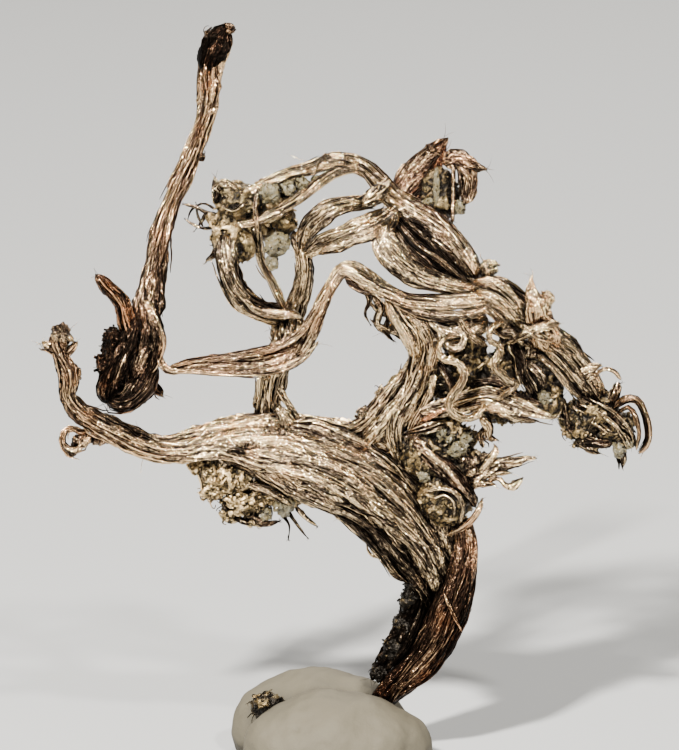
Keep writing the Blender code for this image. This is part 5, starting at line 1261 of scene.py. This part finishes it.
    def add_grains(self, places, ways, density):
        """Scatter small grains over points of a skin."""
        random = self.random
        settings = self.crust_settings
        wide, deep, high = np.ptp(places, axis=0) / MM
        area = 2 * (wide * deep + deep * high + wide * high) * GRAIN_AREA
        count = round(area * settings.grains_per_mm2 * density)
        for index in random.integers(0, len(places), count):
            mesh, corners = grain() if random.random() < GRAIN_CUBES else ball(1)
            size = settings.grain_size * random.uniform(*GRAIN_SIZES)
            sizes = size * np.array(
                (1.0, random.uniform(*GRAIN_DEPTHS), random.uniform(*GRAIN_LENGTHS))
            )
            turned = (corners * sizes) @ random_turn(random)
            grains = turned + places[index] + ways[index] * size * random.uniform(*GRAIN_LIFT)
            level = random.uniform(*GRAIN_LEVEL)
            self.add(mesh, grains, grains / MM, level, *self.tarnish())
        for index in random.integers(0, len(places), round(count * THREADS_PER_GRAIN)):
            self.add_curl(places[index], ways[index])

    def add_curl(self, place, way):
        """Add a short curled thread that stands on a crust."""
        random = self.random
        radius = self.strand_settings.fibre_radius * random.uniform(*CURL_THICKNESS)
        reach = random.uniform(*CURL_REACH) * MM
        aim = unit((way * CURL_LEAN + random.normal(0, CURL_STRAY, 3))[None])[0]
        bend = np.cross(aim, random.normal(0, 1.0, 3))
        share = np.linspace(0, 1, THREAD_POINTS)
        turn = share * random.uniform(*CURL_TURN)
        points = place + reach * (
            aim * (np.sin(turn) / 2)[:, None] + bend * ((1 - np.cos(turn)) / 3)[:, None]
        )
        radii = radius * (1 - CURL_TAPER * share)
        out = np.repeat(unit(np.cross(aim, bend)[None]), THREAD_POINTS, axis=0)
        level = random.uniform(*CURL_LEVEL)
        self.add_thread(points, radii, out, THREAD_SIDES, level, *self.tarnish())

    def add_crystal(self, crystal):
        """Add a crystal with flat faces."""
        mesh, ways = ball(CRYSTAL_DETAIL, "crystal")
        sizes = sizes_of(crystal)
        boxy = ways / np.max(np.abs(ways), axis=1, keepdims=True)
        shape = CRYSTAL_BOXINESS * boxy + (1 - CRYSTAL_BOXINESS) * ways
        turned = (shape * sizes) @ np.array(crystal_turn(crystal.facing)).T
        places = seen(*crystal.centre) + turned
        size = min(sizes)
        rise = facets(places / (CRYSTAL_FACE * size), self.seed) * CRYSTAL_RELIEF * size
        places = places + unit(turned) * rise[:, None]
        self.add(mesh, places, places / MM, CRYSTAL_LEVEL, self.look.dark[0], 0.0)

    def finish(self, name, slot, materials):
        """Object of the piece, riding on the frame in place of its solid."""
        mesh = bpy.data.meshes.new(f"{name}_skin")
        self.bm.to_mesh(mesh)
        self.bm.free()
        tints = np.vstack(self.tints)
        along = mesh.attributes.new("along", "FLOAT_VECTOR", "POINT")
        along.data.foreach_set("vector", tints[:, :3].ravel())
        for column, layer in enumerate(("level", "dark", "copper"), start=3):
            made = mesh.attributes.new(layer, "FLOAT", "POINT")
            made.data.foreach_set("value", tints[:, column].copy())
        for material in materials:
            mesh.materials.append(material)
        return placed(f"{name}_skin", mesh, name)


def sizes_of(shape):
    """Half sizes in metres of a lump or crystal, right, back and up."""
    across, down, deep = shape.half
    return np.array((across, deep, down)) * MM


def read(points, kind):
    """Places or normals of a mesh's points."""
    values = np.empty(3 * len(points))
    points.foreach_get(kind, values)
    return values.reshape(-1, 3)


def placed(name, mesh, node):
    """Object that rides on the frame's body in place of one of its solids."""
    made = bpy.data.objects.new(name, mesh)
    bpy.context.scene.collection.objects.link(made)
    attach(made, "root")
    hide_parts(node)
    return made


def random_turn(random):
    """Random turning matrix."""
    turn, _ = np.linalg.qr(random.normal(size=(3, 3)))
    turn[:, 0] *= np.sign(np.linalg.det(turn))
    return turn


def crystal_turn(facing):
    """Turning matrix of a crystal, as the solids have it."""
    return Euler([facing * angle for angle in CRYSTAL_TURN]).to_matrix()


def merged_skin(lumps, voxel):
    """Even mesh around a group of lumps."""
    bm = bmesh.new()
    for lump in lumps:
        mesh, ways = ball(CRUST_DETAIL)
        places = seen(*lump.centre) + ways * sizes_of(lump)
        mesh.vertices.foreach_set("co", places.ravel())
        bm.from_mesh(mesh)
    mesh = bpy.data.meshes.new("crust_source")
    bm.to_mesh(mesh)
    bm.free()
    source = bpy.data.objects.new("crust_source", mesh)
    bpy.context.scene.collection.objects.link(source)
    modifier = source.modifiers.new("even", "REMESH")
    modifier.mode = "VOXEL"
    modifier.voxel_size = voxel
    modifier.use_smooth_shade = True
    evaluated = source.evaluated_get(bpy.context.evaluated_depsgraph_get())
    even = bpy.data.meshes.new_from_object(evaluated)
    even.polygons.foreach_set("material_index", [GRANULES] * len(even.polygons))
    bpy.data.objects.remove(source)
    bpy.data.meshes.remove(mesh)
    return even


class Shader:
    """Material with a Principled shader, and its nodes."""

    def __init__(self, name):
        self.material = bpy.data.materials.new(name)
        self.material.use_nodes = True
        self.tree = self.material.node_tree
        self.surface = self.tree.nodes["Principled BSDF"]

    def node(self, kind, inputs=None, output=0, stops=(), **settings):
        """Add a node with its settings, colour stops and inputs, and return one of its outputs."""
        made = self.tree.nodes.new(kind)
        for key, value in settings.items():
            setattr(made, key, value)
        if stops:
            elements = made.color_ramp.elements
            while len(elements) < len(stops):
                elements.new(0.5)
            for element, (position, colour) in zip(elements, stops):
                element.position = position
                element.color = (*colour, 1.0)
        self.connect(made, inputs or {})
        return made.outputs[output]

    def connect(self, node, inputs):
        """Give a node's inputs their values or links."""
        for key, value in inputs.items():
            if isinstance(value, bpy.types.NodeSocket):
                self.tree.links.new(value, node.inputs[key])
            else:
                node.inputs[key].default_value = value

    def pattern(self, texture, vector, size, stretch=(1.0, 1.0, 1.0), **inputs):
        """Value of a texture whose waves have a size, in the vector's own unit."""
        scaled = self.node("ShaderNodeVectorMath", {0: vector, 1: stretch}, operation="MULTIPLY")
        return self.node(texture, {"Vector": scaled, "Scale": 1 / size, **inputs})

    def weighed(self, level, parts):
        """Level with each part added to it, given as (part, its middle value, its weight)."""
        for part, middle, weight in parts:
            away = self.node(MATH, {0: part, 1: middle}, operation="SUBTRACT")
            level = self.node(MATH, {0: away, 1: weight, 2: level}, operation="MULTIPLY_ADD")
        return level


def silver_material(name, finish, brown):
    """Tarnished native silver. The eye sees a warm metal, bright on the rubbed ridges and dark
    with sulfide in the grooves, with painted shade in sheltered corners and small painted glints.
    brown is the least share of the copper-brown tarnish."""
    made = Shader(name)
    here = made.node("ShaderNodeTexCoord", output="Object")
    # How open the surface is, for painted shade in sheltered corners.
    shade_openness = made.node(CORNERS, {"Distance": SILVER_OPENNESS}, "AO", samples=CORNER_SAMPLES)
    along = made.node("ShaderNodeAttribute", output="Vector", attribute_name="along")
    level, dark, copper = (
        made.node("ShaderNodeAttribute", output="Fac", attribute_name=layer)
        for layer in ("level", "dark", "copper")
    )
    streak = made.pattern(NOISE, along, 1.0, STREAKS, Detail=4.0)
    grit = made.pattern(NOISE, along, 1.0, GRIT, Detail=2.0)
    patch = made.pattern(NOISE, here, PATCH, Detail=2.0)
    # Hackles give the skin relief, and are also painted into its colour as small glints.
    hackles_and_glints = made.pattern("ShaderNodeTexVoronoi", along, 1.0, HACKLES)
    crack = made.pattern(NOISE, along, 1.0, CRACKS, Detail=1.0)
    crack = made.node(MATH, {0: crack, 1: 0.5}, operation="SUBTRACT")
    crack = made.node(MATH, {0: crack}, operation="ABSOLUTE")
    crack = made.node(
        "ShaderNodeMapRange",
        {"Value": crack, "From Min": 0.0, "From Max": CRACK_WIDTH, "To Min": 1.0, "To Max": 0.0},
    )
    level = made.weighed(level, [
        # dark is tarnish and painted shade on top of the strand's own level.
        (dark, 0.0, -1.0),
        (streak, 0.48, 1.5),
        (grit, 0.5, 1.3),
        (patch, 0.5, 0.7),
        (crack, 0.0, -0.45),
        # Painted glints: brighter near the middles of the hackles.
        (hackles_and_glints, 0.45, -0.5),
        # Painted shade: darker in sheltered corners, partly real sulfide tarnish.
        (shade_openness, 0.775, 0.8),
    ])
    level = made.weighed(TARNISH_SINK, [(level, 0.0, TARNISH_CONTRAST)])
    silver, brown_silver = (
        made.node(RAMP, {"Fac": level}, stops=list(zip(TARNISH_STOPS, colours)))
        for colours in (
            (finish.groove, finish.shade, finish.silver, finish.ridge),
            (finish.groove, finish.copper_shade, finish.copper, finish.copper_ridge),
        )
    )
    share = made.weighed(copper, [(patch, 0.56, 1.4)])
    share = made.node("ShaderNodeClamp", {"Value": share, "Min": brown, "Max": 1.0})
    roughness = made.node("ShaderNodeMapRange", {
        "Value": level,
        "From Min": ROUGHNESS_LEVELS[0],
        "From Max": ROUGHNESS_LEVELS[1],
        "To Min": TARNISH_ROUGHNESS,
        "To Max": RIDGE_ROUGHNESS,
    })
    height = made.weighed(streak, [(grit, 0.0, 1.0), (crack, 0.0, -0.5), (hackles_and_glints, 0.0, -1.1)])
    bump = {"Height": height, "Strength": 0.9, "Distance": SILVER_RELIEF}
    made.connect(made.surface, {
        "Base Color": made.node(
            "ShaderNodeMix", {"Factor": share, 6: silver, 7: brown_silver}, 2, data_type="RGBA"
        ),
        "Metallic": 1.0,
        "Roughness": roughness,
        "Normal": made.node("ShaderNodeBump", bump),
    })
    return made.material


def crust_material(name, finish, pale, tan):
    """Granular silver crust. The eye sees dull grey-brown knobs with small glints between dark
    pits, with painted shade in sheltered corners. tan is the share of the tan grains, and pale the
    colour of the highest grey ones."""
    made = Shader(name)
    here = made.node("ShaderNodeTexCoord", output="Object")
    shade_openness = made.node(CORNERS, {"Distance": CRUST_OPENNESS}, "AO", samples=CORNER_SAMPLES)
    level, dark = (
        made.node("ShaderNodeAttribute", output="Fac", attribute_name=layer)
        for layer in ("level", "dark")
    )
    grain = made.pattern(NOISE, here, GRAIN_CLOUD, Detail=3.0)
    patch = made.pattern(NOISE, here, TAN_PATCH, Detail=2.0)
    level = made.weighed(level, [
        (dark, 0.0, -1.0),
        (grain, 0.5, 0.9),
        # Painted shade: darker in sheltered corners.
        (shade_openness, 0.75, 0.8),
    ])
    grey, brown = (
        made.node(RAMP, {"Fac": level}, stops=list(zip(CRUST_STOPS, colours)))
        for colours in (
            (finish.crust_dark, finish.crust_grey, pale),
            (finish.crust_dark, finish.crust_tan, finish.ridge),
        )
    )
    share = made.node("ShaderNodeClamp", {"Value": made.weighed(tan, [(patch, 0.5, 3.0)])})
    bump = {"Height": grain, "Strength": 1.0, "Distance": CRUST_RELIEF}
    made.connect(made.surface, {
        "Base Color": made.node(
            "ShaderNodeMix", {"Factor": share, 6: grey, 7: brown}, 2, data_type="RGBA"
        ),
        "Metallic": 0.85,
        "Roughness": 0.38,
        "Normal": made.node("ShaderNodeBump", bump),
    })
    return made.material


def crystal_material(name, finish):
    """Grey crystal. The eye sees flat, waxy faces that catch the light one at a time."""
    made = Shader(name)
    here = made.node("ShaderNodeTexCoord", output="Object")
    cloud = made.pattern(NOISE, here, CRYSTAL_CLOUD, Detail=5.0)
    shade_openness = made.node(CORNERS, {"Distance": CRYSTAL_OPENNESS}, "AO", samples=CORNER_SAMPLES)
    # Painted shade: darker in the crystal's sheltered corners.
    level = made.weighed(0.0, [(cloud, 0.5, 2.6), (shade_openness, 0.25, 0.8)])
    pale = [PALE_CRYSTAL * part for part in finish.crystal]
    stops = [
        (0.05, finish.crust_dark),
        (0.4, finish.crust_grey),
        (0.65, finish.crystal),
        (1.0, pale),
    ]
    bump = {"Height": cloud, "Strength": 0.8, "Distance": CRUST_RELIEF}
    made.connect(made.surface, {
        "Base Color": made.node(RAMP, {"Fac": level}, stops=stops),
        "Roughness": 0.14,
        "Normal": made.node("ShaderNodeBump", bump),
    })
    return made.material


def putty_material(name, finish):
    """Museum putty. The eye sees a matt off-white with soft finger marks and pits, and painted
    shade in its creases.
    """
    made = Shader(name)
    here = made.node("ShaderNodeTexCoord", output="Object")
    cloud = made.pattern(NOISE, here, PUTTY_CLOUD, Detail=3.0)
    pores = made.pattern(NOISE, here, PUTTY_PORES, Detail=4.0)
    shade_openness = made.node(CORNERS, {"Distance": PUTTY_OPENNESS}, "AO", samples=CORNER_SAMPLES)
    # Painted shade: darker in creases and sheltered corners, down to the darkest stop.
    level = made.weighed(0.0, [(cloud, 0.7, 1.0), (shade_openness, 0.5, 2.4)])
    darker, crease_shade = (
        [share * part for part in finish.putty] for share in (DARK_PUTTY, PUTTY_CREASE_SHADE)
    )
    stops = [(0.0, crease_shade), (0.55, darker), (1.0, finish.putty)]
    bump = {"Height": pores, "Strength": 0.35, "Distance": PUTTY_RELIEF}
    made.connect(made.surface, {
        "Base Color": made.node(RAMP, {"Fac": level}, stops=stops),
        "Roughness": 0.72,
        "Specular IOR Level": 0.3,
        "Normal": made.node("ShaderNodeBump", bump),
    })
    return made.material


def floor_material(name, finish):
    """Seamless studio paper. The eye sees an even pale ground."""
    made = Shader(name)
    made.connect(made.surface, {"Base Color": (*finish.floor, 1.0), "Roughness": 0.85})
    return made.material


def finishes(scene):
    """The materials of each slot, made once from the settings."""
    finish = scene.silver_finish
    if "Tarnished silver" not in bpy.data.materials:
        silver_material("Tarnished silver", finish, 0.0)
        silver_material("Copper-brown silver", finish, COPPER_LEAST)
        crust_material("Silver crust", finish, finish.crystal, TAN_IN_GREY)
        crust_material("Tan silver crust", finish, finish.ridge, TAN_IN_TAN)
        crystal_material("Grey crystal", finish)
        putty_material("Museum putty", finish)
    # in the order of METAL, FACES and GRANULES
    names = {
        SILVER: ("Tarnished silver", "Grey crystal", "Tarnished silver"),
        COPPER_BROWN: ("Copper-brown silver", "Grey crystal", "Copper-brown silver"),
        CRUST: ("Tarnished silver", "Grey crystal", "Silver crust"),
        TAN_CRUST: ("Tarnished silver", "Grey crystal", "Tan silver crust"),
        PUTTY: ("Museum putty",),
    }
    return {slot: [bpy.data.materials[name] for name in used] for slot, used in names.items()}


def grow(context, group, first_seed):
    """Make the pieces of a group."""
    scene = context.scene
    materials = finishes(scene)
    for number, (name, slot, look, shapes) in enumerate(group):
        growth = Growth(scene.silver_strands, scene.silver_crust, look, first_seed + number)
        crusty = slot in (CRUST, TAN_CRUST)
        if crusty:
            growth.add_crust([shape for shape in shapes if isinstance(shape, Lump)])
        for shape in shapes:
            if isinstance(shape, Strand):
                growth.add_strand(shape)
            elif isinstance(shape, Crystal):
                growth.add_crystal(shape)
            elif not crusty:
                growth.add_lump(shape)
        growth.finish(name, slot, materials[slot])


class SILVER_OT_trunk(bpy.types.Operator):
    """Model the stem, the main bundle, the column and the post"""

    bl_idname = "silver.trunk"
    bl_label = "Trunk"

    def execute(self, context):
        grow(context, TRUNK, first_seed=100)
        return {"FINISHED"}


class SILVER_OT_left_side(bpy.types.Operator):
    """Model the tall wire, the knot, the tail and the ribbon"""

    bl_idname = "silver.left_side"
    bl_label = "Left side"

    def execute(self, context):
        grow(context, LEFT_SIDE, first_seed=200)
        return {"FINISHED"}


class SILVER_OT_middle(bpy.types.Operator):
    """Model the loops, the arch, the leaves, the pods and the wing"""

    bl_idname = "silver.middle"
    bl_label = "Middle"

    def execute(self, context):
        grow(context, MIDDLE, first_seed=300)
        return {"FINISHED"}


class SILVER_OT_right_side(bpy.types.Operator):
    """Model the shoulders, the end cluster, the curls and the crusts behind them"""

    bl_idname = "silver.right_side"
    bl_label = "Right side"

    def execute(self, context):
        grow(context, RIGHT_SIDE, first_seed=400)
        return {"FINISHED"}


class SILVER_OT_putty(bpy.types.Operator):
    """Model the two lobes of putty that the specimen stands in"""

    bl_idname = "silver.putty"
    bl_label = "Putty"

    def execute(self, context):
        materials = finishes(context.scene)[PUTTY]
        bm = bmesh.new()
        for lobe in LOBES:
            add_lobe(bm, *lobe)
        mesh = bpy.data.meshes.new("putty_lobes")
        bm.to_mesh(mesh)
        bm.free()
        mesh.materials.append(materials[0])
        mesh.shade_smooth()
        mesh.set_sharp_from_angle(angle=CREASE_ANGLE)
        placed("putty_lobes", mesh, "putty_mount")
        grow(context, CRUMBS, first_seed=500)
        return {"FINISHED"}


def add_lobe(bm, middle, half):
    """Add a pinched lobe, cut flat at the base."""
    lobe = bmesh.new()
    bmesh.ops.create_icosphere(lobe, subdivisions=LOBE_DETAIL, radius=1)
    for vert in lobe.verts:
        way = vert.co.copy()
        place = Vector(middle) + way * Vector(half)
        dent = PINCH * noise.noise(place / PINCH_LENGTH)
        dent += DIMPLE * noise.noise(place / DIMPLE_LENGTH) - pits(place)
        vert.co = (place + way * dent) * MM
    everything = lobe.verts[:] + lobe.edges[:] + lobe.faces[:]
    cut = bmesh.ops.bisect_plane(
        lobe, geom=everything, plane_co=(0, 0, 0), plane_no=(0, 0, -1), clear_outer=True
    )
    rim = [item for item in cut["geom_cut"] if isinstance(item, bmesh.types.BMEdge)]
    bmesh.ops.edgeloop_fill(lobe, edges=rim)
    bmesh.ops.recalc_face_normals(lobe, faces=lobe.faces)
    mesh = bpy.data.meshes.new("lobe")
    lobe.to_mesh(mesh)
    lobe.free()
    bm.from_mesh(mesh)
    bpy.data.meshes.remove(mesh)


def pits(place):
    """Depth in mm of the pits and nail marks at a place of the putty."""
    depth = 0.0
    for across, down, depth_behind, radius, deep in PITS:
        middle = Vector(seen(across, down, depth_behind)) / MM
        gap = (place - middle).length / radius
        depth += deep * math.exp(-gap * gap)
    return depth


class SILVER_OT_stage(bpy.types.Operator):
    """Set up the pale floor, the soft lights and the camera"""

    bl_idname = "silver.stage"
    bl_label = "Stage"

    def execute(self, context):
        scene = context.scene
        bm = bmesh.new()
        bmesh.ops.create_grid(bm, x_segments=1, y_segments=1, size=FLOOR_HALF)
        mesh = bpy.data.meshes.new("floor")
        bm.to_mesh(mesh)
        bm.free()
        mesh.materials.append(floor_material("Studio paper", scene.silver_finish))
        floor = bpy.data.objects.new("floor", mesh)
        scene.collection.objects.link(floor)
        aim = Vector(seen(*CAMERA_AIM))
        for name, place, size, watts in LIGHTS:
            add_light(name, aim, Vector(place), size, watts)
        world = bpy.data.worlds.new("Studio")
        world.use_nodes = True
        background = world.node_tree.nodes["Background"]
        background.inputs["Color"].default_value = (1, 1, 1, 1)
        background.inputs["Strength"].default_value = WORLD_STRENGTH
        scene.world = world
        add_camera(aim)
        return {"FINISHED"}


def add_light(name, aim, place, size, watts):
    """Square soft light that faces the specimen."""
    lamp = bpy.data.lights.new(name, "AREA")
    lamp.energy = watts
    lamp.color = LIGHT_COLOUR
    lamp.size = size
    made = bpy.data.objects.new(name, lamp)
    made.location = aim + place
    made.rotation_euler = (-place).to_track_quat("-Z", "Y").to_euler()
    bpy.context.scene.collection.objects.link(made)


def add_camera(aim):
    """Camera that looks down on the specimen as the photo does."""
    lens = bpy.data.cameras.new("camera")
    lens.sensor_width = SENSOR
    lens.lens = SENSOR * CAMERA_REACH / (DRAWING[1] * MM)
    lens.clip_start = CLIP_START
    camera = bpy.data.objects.new("camera", lens)
    camera.location = aim + Vector(EYE) * CAMERA_REACH
    camera.rotation_euler = (math.pi / 2 - VIEW_TILT, 0.0, 0.0)
    bpy.context.scene.collection.objects.link(camera)
    bpy.context.scene.camera = camera


STEPS = (
    SILVER_OT_trunk,
    SILVER_OT_left_side,
    SILVER_OT_middle,
    SILVER_OT_right_side,
    SILVER_OT_putty,
    SILVER_OT_stage,
)


class SILVER_PT_panel(bpy.types.Panel):
    """Settings and steps of the specimen"""

    bl_idname = "SILVER_PT_panel"
    bl_label = "Native Silver"
    bl_space_type = "VIEW_3D"
    bl_region_type = "UI"
    bl_category = "Silver"

    def draw(self, context):
        """List the settings and the steps."""
        scene = context.scene
        for settings in (scene.silver_strands, scene.silver_crust, scene.silver_finish):
            column = self.layout.column(align=True)
            for name in settings.__annotations__:
                column.prop(settings, name)
        for step in STEPS:
            self.layout.operator(step.bl_idname)


CLASSES = (StrandSettings, CrustSettings, FinishSettings, *STEPS, SILVER_PT_panel)


def register():
    """Add the classes, and the settings to each scene."""
    for added in CLASSES:
        bpy.utils.register_class(added)
    pointer = bpy.props.PointerProperty
    bpy.types.Scene.silver_strands = pointer(type=StrandSettings)
    bpy.types.Scene.silver_crust = pointer(type=CrustSettings)
    bpy.types.Scene.silver_finish = pointer(type=FinishSettings)


def unregister():
    """Take the settings and the classes away."""
    del bpy.types.Scene.silver_finish
    del bpy.types.Scene.silver_crust
    del bpy.types.Scene.silver_strands
    for added in reversed(CLASSES):
        bpy.utils.unregister_class(added)


def main():
    """Make the specimen and its stage."""
    register()
    bpy.ops.silver.trunk()
    bpy.ops.silver.left_side()
    bpy.ops.silver.middle()
    bpy.ops.silver.right_side()
    bpy.ops.silver.putty()
    bpy.ops.silver.stage()
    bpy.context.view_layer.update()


if __name__ == "__main__":
    main()
